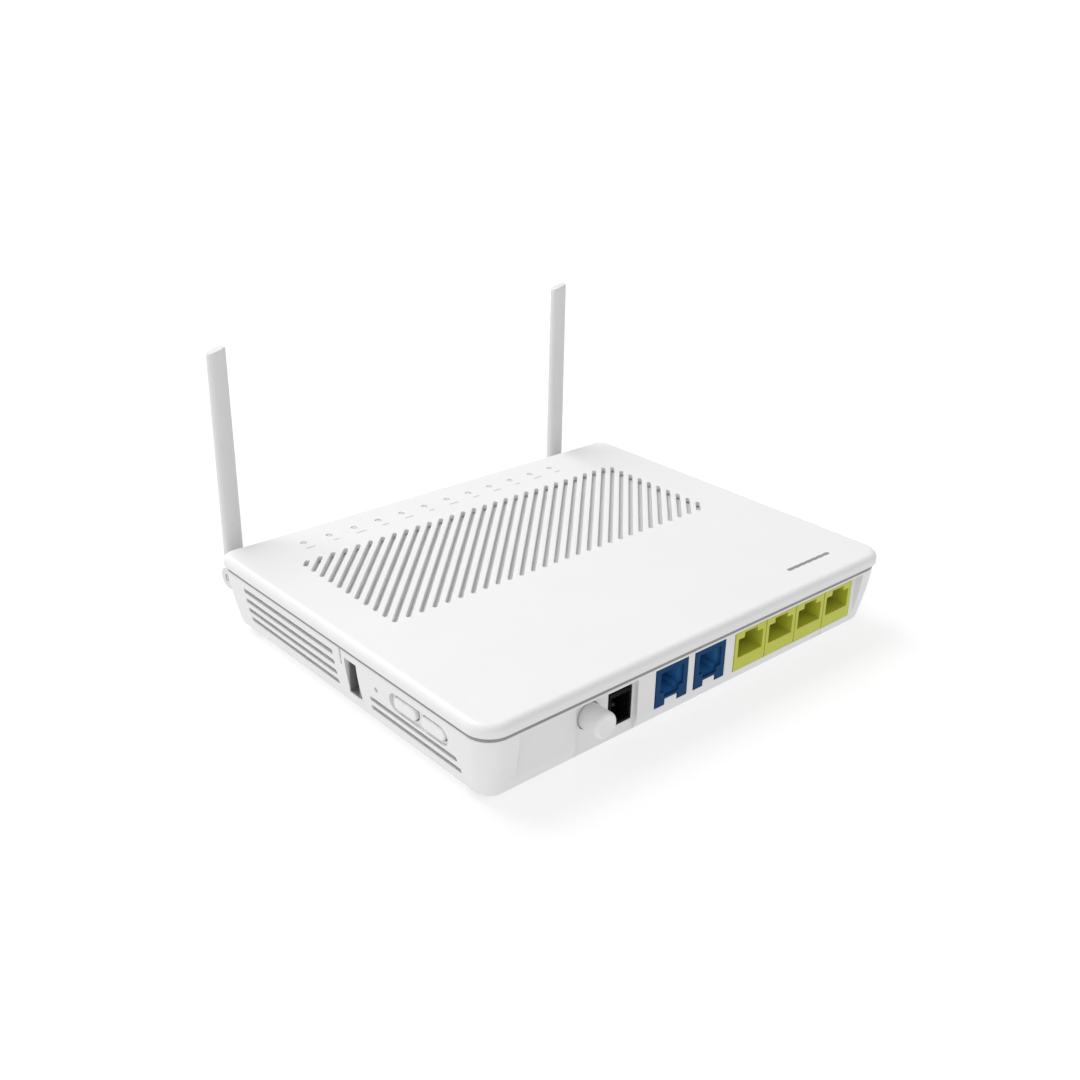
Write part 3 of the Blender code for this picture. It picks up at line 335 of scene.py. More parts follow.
def board_laminate():
    """Green solder mask over copper tracks, with a faint glass weave."""
    mat, tree, shader = new_material("solder_mask", 0.35, Coat_Weight=0.3, Coat_Roughness=0.2)
    tracks = texture(tree, "ShaderNodeTexBrick", 130.0, Mortar_Size=0.03)
    tracks.inputs["Color1"].default_value = (0.010, 0.090, 0.035, 1.0)
    tracks.inputs["Color2"].default_value = (0.014, 0.120, 0.045, 1.0)
    tracks.inputs["Mortar"].default_value = (0.030, 0.200, 0.080, 1.0)
    tree.links.new(tracks.outputs["Color"], shader.inputs["Base Color"])
    weave = texture(tree, "ShaderNodeTexWave", 900.0, Distortion=1.5)
    bump(tree, shader, weave.outputs["Fac"], 0.01, 0.5)
    return mat


def frosted_lens():
    mat, tree, shader = new_material("frosted_lens", 0.25, Transmission_Weight=0.25, IOR=1.49,
                                     Subsurface_Weight=0.2, Subsurface_Scale=0.002)
    cloud = texture(tree, "ShaderNodeTexNoise", 700.0, Detail=2.0)
    tone = ramp(tree, cloud.outputs["Fac"], ((0.3, (0.80, 0.81, 0.80)), (0.7, (0.88, 0.88, 0.87))))
    tree.links.new(tone, shader.inputs["Base Color"])
    bump(tree, shader, cloud.outputs["Fac"], 0.006, 0.4)
    return mat


def printed_ink(name, colour):
    """Pad-printed ink: slightly uneven, drier than the plastic under it."""
    mat, tree, shader = new_material(name, 0.5)
    patch = texture(tree, "ShaderNodeTexNoise", 1500.0, Detail=3.0)
    tone = ramp(tree, patch.outputs["Fac"], ((0.35, colour), (0.75, shade(colour, 1.15))))
    tree.links.new(tone, shader.inputs["Base Color"])
    tree.links.new(remap(tree, patch.outputs["Fac"], 0.45, 0.7), shader.inputs["Roughness"])
    bump(tree, shader, patch.outputs["Fac"], 0.004, 0.4)
    return mat


WHITE = (0.76, 0.76, 0.76)
MATERIALS = {
    "white_case": moulded_plastic("white_case_plastic", WHITE, 0.45, mottle=0.012),
    "antenna_white": moulded_plastic("antenna_plastic", (0.66, 0.66, 0.66), 0.5, mottle=0.015),
    "button_white": moulded_plastic("button_plastic", (0.77, 0.77, 0.77), 0.36, mottle=0.012),
    "yellow_jack": moulded_plastic("yellow_jack_plastic", (0.52, 0.55, 0.05), 0.4, 1500.0),
    # the phone sockets' blue is painted lighter inside their openings, as painted light
    "blue_jack": painted_light_blue_plastic("blue_jack_painted_cavity_light", (0.010, 0.052, 0.150), (0.045, 0.220, 0.500)),
    "black_plastic": moulded_plastic("black_socket_plastic", (0.004, 0.004, 0.0045), 0.6, 1500.0, mottle=0.2,
                                     Specular_IOR_Level=0.1),
    "green_adapter": moulded_plastic("green_adapter_plastic", (0.025, 0.300, 0.090), 0.38, 1500.0),
    "grey_rubber": moulded_plastic("grey_rubber_skin", (0.230, 0.230, 0.235), 0.8, 1100.0, 0.03, 0.12),
    "capacitor_sleeve": moulded_plastic("capacitor_sleeve_film", (0.020, 0.022, 0.045), 0.3, 700.0),
    "chip_epoxy": moulded_plastic("chip_epoxy_resin", (0.018, 0.018, 0.019), 0.6, 3000.0, 0.02, 0.25),
    "ferrite": moulded_plastic("ferrite_core", (0.045, 0.043, 0.042), 0.75, 1800.0, 0.05, 0.3),
    "ferrule_ceramic": moulded_plastic("zirconia_ceramic", (0.82, 0.80, 0.75), 0.18, 3000.0, 0.003),
    "label_paper": moulded_plastic("label_paper_sheet", (0.80, 0.80, 0.78), 0.65, 5000.0, 0.01),
    "gold_contact": rolled_metal("gold_plated_spring", (0.85, 0.62, 0.24), 0.25, (12.0, 1.0, 12.0)),
    "tinned_steel": rolled_metal("tinned_steel_sheet", (0.62, 0.62, 0.63), 0.32),
    "aluminium": rolled_metal("anodised_aluminium", (0.66, 0.67, 0.69), 0.4, (1.0, 9.0, 9.0)),
    "board_laminate": board_laminate(),
    "clear_lens": frosted_lens(),
}
INK = printed_ink("grey_print", (0.42, 0.42, 0.43))
# painted shade: a dark grey for the ring in the seam gap, standing in for the shade there
SEAM_SHADE_PAINT = moulded_plastic("seam_painted_shade", (0.300, 0.300, 0.303), 0.8, 1100.0, 0.03, 0.12)
USB_PLATING = rolled_metal("dull_nickel_sheet", (0.32, 0.32, 0.33), 0.5, metallic=0.4)
DARK_INK = printed_ink("dark_grey_print", (0.24, 0.24, 0.25))


# ---- shapes --------------------------------------------------------------------------------
def on_axis(axis, u, v, along):
    """A point from two cross coordinates, in X, Y, Z order, and one along the axis."""
    if axis == 'X':
        return (along, u, v)
    if axis == 'Y':
        return (u, along, v)
    return (u, v, along)


def loft(bm, rings, closed=False, ends=True):
    """Skin rings of points that all have the same count; returns the loops of vertices."""
    loops = [[bm.verts.new(point) for point in ring] for ring in rings]
    pairs = list(zip(loops, loops[1:]))
    if closed:
        pairs.append((loops[-1], loops[0]))
    count = len(loops[0])
    for low, high in pairs:
        for i in range(count):
            j = (i + 1) % count
            bm.faces.new((low[i], low[j], high[j], high[i]))
    if ends and not closed:
        bm.faces.new(loops[0][::-1])
        bm.faces.new(loops[-1])
    return loops


def prism(bm, outline, axis, low, high):
    return loft(bm, [[on_axis(axis, u, v, a) for u, v in outline] for a in (low, high)])


def box(bm, xs, ys, zs):
    prism(bm, ((xs[0], ys[0]), (xs[1], ys[0]), (xs[1], ys[1]), (xs[0], ys[1])), 'Z', *zs)


def circle(cu, cv, radius, sides):
    angles = [2 * math.pi * k / sides for k in range(sides)]
    return [(cu + radius * math.cos(a), cv + radius * math.sin(a)) for a in angles]


def rod(bm, cu, cv, radius, axis, low, high, sides=32):
    prism(bm, circle(cu, cv, radius, sides), axis, low, high)


def turned(bm, cu, cv, profile, axis, sides):
    """A turned body: the profile lists (radius, place along the axis)."""
    rings = [[on_axis(axis, u, v, along) for u, v in circle(cu, cv, radius, sides)]
             for radius, along in profile]
    loft(bm, rings)


def rounded(x0, x1, y0, y1, radius, steps=CORNER_STEPS, rear=None):
    """Rounded rectangle, anticlockwise; its two far corners may have their own radius."""
    rear = rear or radius
    corners = ((x1 - radius, y0 + radius, -90, radius), (x1 - rear, y1 - rear, 0, rear),
               (x0 + rear, y1 - rear, 90, rear), (x0 + radius, y0 + radius, 180, radius))
    points = []
    for cx, cy, start, size in corners:
        for k in range(steps + 1):
            angle = math.radians(start + 90 * k / steps)
            points.append((cx + size * math.cos(angle), cy + size * math.sin(angle)))
    return points


def superellipse(cu, cv, half_u, half_v):
    """Flatter than an ellipse, yet curved all round."""
    power, count = 2.8, 64
    points = []
    for k in range(count):
        c, s = math.cos(2 * math.pi * k / count), math.sin(2 * math.pi * k / count)
        points.append((cu + half_u * math.copysign(abs(c) ** (2 / power), c),
                       cv + half_v * math.copysign(abs(s) ** (2 / power), s)))
    return points


def pill(u0, v0, u1, v1, radius, steps=8):
    """A slot outline with round ends between two centres."""
    heading = math.atan2(v1 - v0, u1 - u0)
    points = []
    for cu, cv, start in ((u1, v1, heading - math.pi / 2), (u0, v0, heading + math.pi / 2)):
        for k in range(steps + 1):
            angle = start + math.pi * k / steps
            points.append((cu + radius * math.cos(angle), cv + radius * math.sin(angle)))
    return points


def case_ring(inset, z, front=None):
    """The case's outline moved in by an inset; the socket side may have its own place."""
    low = inset if front is None else front
    size, rear = max(CASE_CORNER - inset * 0.7, 2.5), max(REAR_CORNER - inset * 0.5, 1.5)
    return [(x, y, z) for x, y in rounded(inset, CASE_W - inset, low, CASE_D - inset, size, rear=rear)]


def tray_inset(z):
    """How far the tray's outer wall stands in from the cover's edge at a height."""
    depth = (SEAM_LOW - z) / (SEAM_LOW - TRAY_BOTTOM)
    inset = TRAY_RIM_INSET + TRAY_DRAFT * max(depth, 0.0) ** 1.5
    rise = min((z - TRAY_BOTTOM) / TRAY_FOOT_ROUND, 1.0)
    return inset + TRAY_FOOT_ROUND * (1 - math.sqrt(1 - (1 - rise) ** 2))


# ---- pieces --------------------------------------------------------------------------------
def piece(name, bm, slot, body, stands_for=(), material=None):
    """Turn a bmesh in case millimetres into a piece that rides on a body."""
    bmesh.ops.recalc_face_normals(bm, faces=bm.faces)
    for vert in bm.verts:
        vert.co = place(vert.co)
    mesh = bpy.data.meshes.new(name)
    bm.to_mesh(mesh)
    bm.free()
    mesh.materials.append(material or MATERIALS[slot])
    obj = bpy.data.objects.new(name, mesh)
    bpy.context.scene.collection.objects.link(obj)
    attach(obj, body)
    if stands_for:
        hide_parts(*stands_for)
    return obj


def combine(obj, bm, operation='DIFFERENCE'):
    """Apply a Boolean with a throwaway tool to the piece's mesh."""
    bmesh.ops.recalc_face_normals(bm, faces=bm.faces)
    for vert in bm.verts:
        vert.co = place(vert.co)
    tool_mesh = bpy.data.meshes.new("tool")
    bm.to_mesh(tool_mesh)
    bm.free()
    tool = bpy.data.objects.new("tool", tool_mesh)
    bpy.context.scene.collection.objects.link(tool)
    mod = obj.modifiers.new("tool", 'BOOLEAN')
    mod.operation = operation
    mod.solver = 'EXACT'
    mod.object = tool
    result = bpy.data.meshes.new_from_object(obj.evaluated_get(bpy.context.evaluated_depsgraph_get()))
    obj.modifiers.clear()
    old = obj.data
    obj.data = result
    result.name = old.name.split(".")[0]
    bpy.data.meshes.remove(old)
    bpy.data.objects.remove(tool)
    bpy.data.meshes.remove(tool_mesh)


def soften(obj, width=0.0, angle=EDGE_ANGLE):
    """Round the sharp edges and shade the whole piece smoothly."""
    obj.data.shade_smooth()
    if width:
        bevel = obj.modifiers.new("rounded_edges", 'BEVEL')
        bevel.width = width * MM
        bevel.segments = 2
        bevel.limit_method = 'ANGLE'
        bevel.angle_limit = math.radians(angle)
        bevel.miter_outer = 'MITER_ARC'
    else:
        obj.data.set_sharp_from_angle(angle=math.radians(angle))
    normals = obj.modifiers.new("flat_faces_stay_flat", 'WEIGHTED_NORMAL')
    normals.keep_sharp = not width


def vent_lines():
    """Centre lines of the parallel slots at 45 degrees, clipped to the vent field."""
    half = VENT_SLOT / 2
    (x0, x1), (y0, y1) = VENT_X, VENT_Y
    x0, x1, y0, y1 = x0 + half, x1 - half, y0 + half, y1 - half
    height = y1 - y0
    phase = y0 + VENT_PHASE
    lines = []
    for k in range(math.ceil((x0 - height - phase) / VENT_PITCH), math.ceil((x1 - phase) / VENT_PITCH)):
        start = phase + VENT_PITCH * k
        low = max(0.0, x0 - start)
        high = min(height, x1 - start)
        if high - low > 1.5:
            lines.append((start + low, y0 + low, start + high, y0 + high))
    return lines


def make_cover():
    """The lid: a thin shell with rounded edges, drawn from its underside round the lip to the top."""
    bm = bmesh.new()
    inner_top = CASE_H - COVER_TOP
    rings = [case_ring(SKIRT + 0.6, inner_top), case_ring(SKIRT + 0.17, inner_top - 0.17),
             case_ring(SKIRT, inner_top - 0.6), case_ring(SKIRT, SEAM_HIGH + 0.15),
             case_ring(SKIRT - 0.15, SEAM_HIGH), case_ring(0.25, SEAM_HIGH),
             case_ring(0.07, SEAM_HIGH + 0.07), case_ring(0.0, SEAM_HIGH + 0.25)]
    steps = 9
    for k in range(steps + 1):
        angle = math.radians(90 * k / steps)
        inset, drop = COVER_EDGE * (1 - math.cos(angle)), COVER_EDGE * (1 - math.sin(angle))
        rings.append(case_ring(inset, CASE_H - drop))
    loops = loft(bm, rings, ends=False)
    under, top = [loops[0]], [loops[-1]]

    holes = [lambda grow, line=line: pill(*line, VENT_SLOT / 2 + grow, 6) for line in vent_lines()]
    for k in range(LED_COUNT):
        centre = LED_FIRST + LED_PITCH * k
        holes.append(lambda grow, centre=centre: circle(centre, LED_Y, LED_R + GAP * 0.6 + grow, 16))
    lip = 0.22
    levels = ((lip, CASE_H), (lip * 0.3, CASE_H - lip * 0.3), (0.0, CASE_H - lip), (0.0, CASE_H - COVER_TOP))
    for outline in holes:
        loops = loft(bm, [[(x, y, z) for x, y in outline(grow)] for grow, z in levels], ends=False)
        top.append(loops[0])
        under.append(loops[-1])
    for group in (top, under):
        edges = [bm.edges.get((loop[i], loop[i - 1])) for loop in group for i in range(len(loop))]
        bmesh.ops.triangle_fill(bm, use_beauty=True, edges=edges)
    cover = piece("cover_shell", bm, "white_case", "housing", ["top_cover"])
    soften(cover, angle=ROUND_ANGLE)


def make_tray():
    """The tray: curved walls, socket recess, windows, slots and everything on its underside."""
    bm = bmesh.new()
    heights = (2.0, 2.05, 2.2, 2.45, 2.8, 3.25, 3.8, 5.0, 6.5, 8.0, 9.5, 11.0, 12.5, 14.0, 15.5, 17.0,
               18.5, 20.0, 21.5, SEAM_LOW - 0.25)
    rings = [case_ring(tray_inset(z), z) for z in heights]
    rings.append(case_ring(TRAY_RIM_INSET + 0.07, SEAM_LOW - 0.07))
    rings.append(case_ring(TRAY_RIM_INSET + 0.25, SEAM_LOW))
    rings.append(case_ring(TONGUE_OUT, SEAM_LOW))
    rings.append(case_ring(TONGUE_OUT, TONGUE_TOP))
    rings.append(case_ring(TONGUE_IN, TONGUE_TOP, front=PORT_INNER))
    for z in (17.0, 11.0, TRAY_FLOOR):
        rings.append(case_ring(max(tray_inset(max(z, 3.8)) + TRAY_WALL, TONGUE_IN), z, front=PORT_INNER))
    loft(bm, rings)
    tray = piece("tray_shell", bm, "white_case", "housing", ["base_tray"])

    bm = bmesh.new()
    for x, y in CASE_POSTS:
        rod(bm, x, y, 4.2, 'Z', TRAY_FLOOR - 0.7, POST_TOP)
    box(bm, (OPTIC_PLANE - 2.2, OPTIC_PLANE + 0.5), (OPTIC_Y - 14, OPTIC_Y + 14), (5.0, PORT_TOP))
    combine(tray, bm, 'UNION')

    bm = bmesh.new()
    box(bm, (PORT_LEFT, PORT_RIGHT), (-5.0, PORT_PLANE), (-1.0, PORT_TOP))
    box(bm, (OPTIC_PLANE, 180.0), (OPTIC_Y - RECESS_HALF, OPTIC_Y + RECESS_HALF),
        (RECESS_BOTTOM, RECESS_TOP))
    first, last = BUTTON_YS["wps"] - POCKET_REACH, BUTTON_YS["wlan"] + POCKET_REACH
    pocket = pill(first, BUTTON_Z, last, BUTTON_Z, POCKET_R)
    prism(bm, pocket, 'X', -1.0, POCKET_FLOOR)
    combine(tray, bm)
    bm = bmesh.new()
    box(bm, (BAY_LEFT, BAY_RIGHT), (0.0, BAY_PLANE), (-1.0, PORT_TOP - 0.1))
    combine(tray, bm)
    for cutter in (socket_windows, side_windows, underside_cuts):
        bm = bmesh.new()
        cutter(bm)
        combine(tray, bm)
    soften(tray, 0.14)


def socket_windows(bm):
    through = (0.0, PORT_INNER + 1.5)
    box(bm, (LAN_LEFT - GAP, LAN_RIGHT + GAP), through, (JACK_BOTTOM - GAP, JACK_TOP + GAP))
    for centre in PHONE_CENTRES:
        left, right = centre - PHONE_HALF - GAP, centre + PHONE_HALF + GAP
        low, high, tab = PHONE_BOTTOM - GAP, JACK_TOP + GAP, PHONE_TAB_HALF
        outline = ((left, low), (centre - tab, low), (centre - tab, PHONE_TAB_TOP),
                   (centre + tab, PHONE_TAB_TOP), (centre + tab, low), (right, low), (right, high), (left, high))
        prism(bm, outline, 'Y', *through)
    box(bm, (POWER_LEFT - GAP, POWER_RIGHT + GAP), through, (POWER_BOTTOM - GAP, POWER_TOP + GAP))
    rod(bm, KNOB_X, KNOB_Z, KNOB_R + GAP, 'Y', *through)
    box(bm, (143.5, 149.0), (0.0, 4.6), (1.0, 4.6))


def side_windows(bm):
    wall = (-1.0, 6.0)
    for z, y0, y1 in REAR_SLOTS + FRONT_SLOTS:
        prism(bm, pill(y0 + SLOT_H / 2, z, y1 - SLOT_H / 2, z, SLOT_H / 2), 'X', *wall)
    box(bm, wall, (USB_Y - USB_W / 2 - GAP, USB_Y + USB_W / 2 + GAP),
        (USB_Z - USB_H / 2 - GAP, USB_Z + USB_H / 2 + GAP))
    reach = BUTTON_HALF - BUTTON_R
    for y in BUTTON_YS.values():
        prism(bm, pill(y - reach, BUTTON_Z, y + reach, BUTTON_Z, BUTTON_R + BUTTON_GAP), 'X', *wall)
    rod(bm, RESET_Y, RESET_Z, RESET_R + GAP, 'X', *wall)
    box(bm, (0.0, TRAY_RIM_INSET + 0.9), (GROOVE_Y - GROOVE_HALF, GROOVE_Y + GROOVE_HALF),
        (17.0, SEAM_LOW + 1))

    right = (CASE_W - 6.0, CASE_W + 1.0)
    for z, *_ in REAR_SLOTS:
        for y0, y1 in RIGHT_SLOTS:
            prism(bm, pill(y0, z, y1, z, SLOT_H / 2), 'X', *right)
    box(bm, (OPTIC_PLANE - 4, 180.0), (OPTIC_Y - OPTIC_HALF_Y - GAP, OPTIC_Y + OPTIC_HALF_Y + GAP),
        (OPTIC_Z - OPTIC_HALF_Z - GAP, OPTIC_Z + OPTIC_HALF_Z + GAP))
    rear = (CASE_D - 6.0, CASE_D + 1.0)
    for x in ANTENNAS.values():
        rod(bm, x, TILT_Z, SHAFT_R + 1.6, 'Y', *rear)
    for z, *_ in REAR_SLOTS[1:]:
        for x0, x1 in BACK_SLOTS:
            prism(bm, pill(x0, z, x1, z, SLOT_H / 2), 'Y', *rear)


def underside_cuts(bm):
    for x, y in CASE_POSTS:
        turned(bm, x, y, ((3.2, 0.0), (3.2, 5.6), (1.7, 5.6), (1.7, POST_TOP + 1)), 'Z', 32)
    for x, y in FEET:
        rod(bm, x, y, FOOT_R + GAP, 'Z', 0.0, FOOT_POCKET)
    box(bm, LABEL[:2], LABEL[2:], (0.0, 2.4))
    neck = math.asin(KEYHOLE_NECK / KEYHOLE_R)
    corner, end = KEYHOLE_Y + math.cos(neck) * KEYHOLE_R, KEYHOLE_Y + KEYHOLE_REACH
    steps = 24
    for x in KEYHOLES:
        outline = [(x - KEYHOLE_NECK, end), (x - KEYHOLE_NECK, corner)]
        for k in range(1, steps):
            angle = math.pi / 2 + neck + (2 * math.pi - 2 * neck) * k / steps
            outline.append((x + KEYHOLE_R * math.cos(angle), KEYHOLE_Y + KEYHOLE_R * math.sin(angle)))
        outline += [(x + KEYHOLE_NECK, corner), (x + KEYHOLE_NECK, end)]
        prism(bm, outline, 'Z', 0.0, BOTTOM_CUT)
    for row in BOTTOM_VENT_ROWS:
        for k in range(BOTTOM_VENT_COUNT):
            x = BOTTOM_VENT_X + BOTTOM_VENT_PITCH * k
            prism(bm, pill(x, row, x, row + BOTTOM_VENT_LONG, BOTTOM_VENT_R), 'Z', 0.0, BOTTOM_CUT)


# ---- sockets -------------------------------------------------------------------------------
def lan_centres():
    pitch = (LAN_RIGHT - LAN_LEFT) / LAN_COUNT
    return [LAN_LEFT + pitch * (k + 0.5) for k in range(LAN_COUNT)]


def stepped_mouth(centre, half, notch_half, base, shoulder, notch):
    """A T-shaped jack opening; the notch may be above or below the wide part."""
    return ((centre - half, base), (centre + half, base), (centre + half, shoulder),
            (centre + notch_half, shoulder), (centre + notch_half, notch), (centre - notch_half, notch),
            (centre - notch_half, shoulder), (centre - half, shoulder))


def make_lan_block():
    bm = bmesh.new()
    box(bm, (LAN_LEFT, LAN_RIGHT), (JACK_FACE, JACK_FACE + LAN_DEPTH), (JACK_BOTTOM, JACK_TOP))
    block = piece("lan_socket_block", bm, "yellow_jack", "housing", ["lan_jack_block"])
    bm = bmesh.new()
    for centre in lan_centres():
        outline = stepped_mouth(centre, LAN_HALF, LAN_NOTCH_HALF, LAN_FLOOR, LAN_SHOULDER, LAN_NOTCH_TOP)
        prism(bm, outline, 'Y', JACK_FACE - 1, JACK_FACE + LAN_CAVITY)
    combine(block, bm)
    bm = bmesh.new()
    pitch = (LAN_RIGHT - LAN_LEFT) / LAN_COUNT
    for k in range(1, LAN_COUNT):
        x = LAN_LEFT + pitch * k
        box(bm, (x - 0.2, x + 0.2), (JACK_FACE - 1, JACK_FACE + 0.5), (JACK_BOTTOM - 1, JACK_TOP + 1))
    combine(block, bm)
    soften(block, 0.22)


def make_phone_blocks():
    for k, centre in enumerate(PHONE_CENTRES):
        bm = bmesh.new()
        tab, top = PHONE_TAB_HALF + GAP, PHONE_TAB_TOP + GAP
        xs = (centre - PHONE_HALF, centre + PHONE_HALF)
        box(bm, xs, (JACK_FACE, JACK_FACE + PHONE_DEPTH), (PHONE_BOTTOM, JACK_TOP))
        block = piece(f"phone_socket_{k + 1}", bm, "blue_jack", "housing", [f"phone_jack_{k + 1}"])
        bm = bmesh.new()
        box(bm, (centre - tab, centre + tab), (JACK_FACE - 1, PORT_INNER + GAP), (PHONE_BOTTOM - 1, top))
        combine(block, bm)
        bm = bmesh.new()
        outline = stepped_mouth(centre, PHONE_OPEN_HALF, PHONE_NOTCH_HALF,
                                PHONE_TOP, PHONE_SHOULDER, PHONE_FLOOR)
        prism(bm, outline, 'Y', JACK_FACE - 1, JACK_FACE + PHONE_CAVITY)
        combine(block, bm)
        soften(block, 0.25)


def make_power_block():
    bm = bmesh.new()
    box(bm, (POWER_LEFT, POWER_RIGHT), (POWER_FACE, POWER_FACE + POWER_DEPTH), (POWER_BOTTOM, POWER_TOP))
    block = piece("power_socket_block", bm, "black_plastic", "housing", ["power_socket"])
    bm = bmesh.new()
    box(bm, (POWER_LEFT + POWER_WALL, POWER_RIGHT - POWER_WALL), (POWER_FACE - 1, POWER_FACE + POWER_CAVITY),
        (POWER_BOTTOM + POWER_WALL, POWER_TOP - POWER_LATCH))
    combine(block, bm)
    soften(block, 0.2)


def make_knob():
    """The power button: a round cap with a rounded rim and a shallow dish in its face."""
    tip = PORT_PLANE - KNOB_OUT
    flange = PORT_INNER + GAP
    rim = 1.1
    profile = [(0.4, tip + 0.35), (1.2, tip + 0.30), (KNOB_R - rim - 0.5, tip + 0.12),
               (KNOB_R - rim - 0.1, tip + 0.01)]
    steps = 7
    for k in range(steps + 1):
        angle = math.radians(90 * k / steps)
        profile.append((KNOB_R - rim + rim * math.sin(angle), tip + rim * (1 - math.cos(angle))))
    profile += [(KNOB_R, flange), (KNOB_R + 1.1, flange), (KNOB_R + 1.1, flange + 1.0), (1.5, flange + 1.0),
                (1.5, 13.5)]
    bm = bmesh.new()
    turned(bm, KNOB_X, KNOB_Z, profile, 'Y', 64)
    soften(piece("power_cap", bm, "button_white", "power_button", ["power_button"]), angle=ROUND_ANGLE)


def make_usb():
    x0, x1 = USB_FACE, USB_FACE + USB_LONG
    half_y, half_z = USB_W / 2, USB_H / 2

    def section(grow, x):
        a, b = half_y + grow, half_z + grow
        return [(x, y, z) for y, z in rounded(USB_Y - a, USB_Y + a, USB_Z - b, USB_Z + b, 0.7 + grow, 5)]

    sheet = USB_SHEET
    rings = [section(-sheet, x1 - 1.0), section(-sheet, x0 + 0.25), section(-sheet + 0.12, x0),
             section(-0.12, x0), section(0.0, x0 + 0.15), section(0.0, x1)]
    bm = bmesh.new()
    loft(bm, rings)
    shell = piece("usb_socket_shell", bm, "tinned_steel", "housing", ["usb_shell"], USB_PLATING)
    bm = bmesh.new()
    for z in (USB_Z - 2.9, USB_Z + 2.9):
        box(bm, (x0 + 3.0, x0 + 8.0), (USB_Y - half_y - 1, USB_Y - half_y + sheet), (z - 0.9, z + 0.9))
        box(bm, (x0 + 3.0, x0 + 8.0), (USB_Y + half_y - sheet, USB_Y + half_y + 1), (z - 0.9, z + 0.9))
    combine(shell, bm)
    soften(shell, angle=40)

    low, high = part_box("usb_tongue")
    size = (high - low) / MM
    bm = bmesh.new()
    y0, z0 = USB_Y - half_y + 0.9, USB_Z - half_z + 0.9
    box(bm, (x0 + 1.6, x0 + 1.6 + size.x), (y0, y0 + size.y), (z0, z0 + size.z))
    tongue = piece("usb_socket_tongue", bm, "black_plastic", "housing", ["usb_tongue"])
    soften(tongue, 0.3)


def make_side_caps():
    reach = BUTTON_HALF - BUTTON_R
    for label, y in BUTTON_YS.items():
        steps = ((BUTTON_FACE + 0.05, -0.75), (BUTTON_FACE, -0.5), (BUTTON_FACE + 0.07, -0.22),
                 (BUTTON_FACE + 0.22, -0.07), (BUTTON_FACE + 0.5, 0.0), (4.4, 0.0), (4.4, 0.7), (5.2, 0.7))
        rings = [[(x, u, v) for u, v in pill(y - reach, BUTTON_Z, y + reach, BUTTON_Z, BUTTON_R + grow, 12)]
                 for x, grow in steps]
        for x in (5.2, 7.4):
            rings.append([(x, u, v) for u, v in pill(y - 0.6, BUTTON_Z, y + 0.6, BUTTON_Z, 0.9, 12)])
        bm = bmesh.new()
        loft(bm, rings)
        cap = piece(label + "_cap", bm, "button_white", label + "_button", [label + "_button"])
        soften(cap, angle=ROUND_ANGLE)


# ---- optical port --------------------------------------------------------------------------
def make_optical_port():
    ys = (OPTIC_Y - OPTIC_HALF_Y, OPTIC_Y + OPTIC_HALF_Y)
    zs = (OPTIC_Z - OPTIC_HALF_Z, OPTIC_Z + OPTIC_HALF_Z)
    back = OPTIC_PLANE - OPTIC_LONG
    bm = bmesh.new()
    box(bm, (back, OPTIC_PLANE), ys, zs)
    adapter = piece("fibre_adapter_body", bm, "green_adapter", "housing", ["fibre_adapter"])
    bm = bmesh.new()
    box(bm, (back + 2.5, OPTIC_PLANE + 1), (OPTIC_Y - OPTIC_OPEN_Y, OPTIC_Y + OPTIC_OPEN_Y),
        (OPTIC_Z - OPTIC_OPEN_Z, OPTIC_Z + OPTIC_OPEN_Z))
    combine(adapter, bm)
    soften(adapter, 0.25)

    half_y, half_z = OPTIC_OPEN_Y - 0.3, OPTIC_OPEN_Z - 0.3
    face = OPTIC_PLANE
    stages = [(face - 6.4, -0.5), (face - 6.2, -0.2), (face - 5.9, 0.0), (face + 0.4, 0.0), (face + 0.4, 1.0),
              (face + 0.7, 1.3), (face + 1.3, 1.3), (face + 1.6, 1.0), (face + 1.6, -1.0)]
    for k in range(3):
        stages += [(face + 1.8 + 0.6 * k, -1.2), (face + 2.0 + 0.6 * k, -1.45), (face + 2.2 + 0.6 * k, -1.2)]
    stages += [(face + 3.45, -1.3), (face + 3.6, -1.6)]
    rings = []
    for x, grow in stages:
        a, b = half_y + grow, half_z + grow
        outline = rounded(OPTIC_Y - a, OPTIC_Y + a, OPTIC_Z - b, OPTIC_Z + b, 1.0, 6)
        rings.append([(x, u, v) for u, v in outline])
    bm = bmesh.new()
    loft(bm, rings)
    soften(piece("dust_cap", bm, "grey_rubber", "dust_plug", ["dust_plug"]), angle=ROUND_ANGLE)


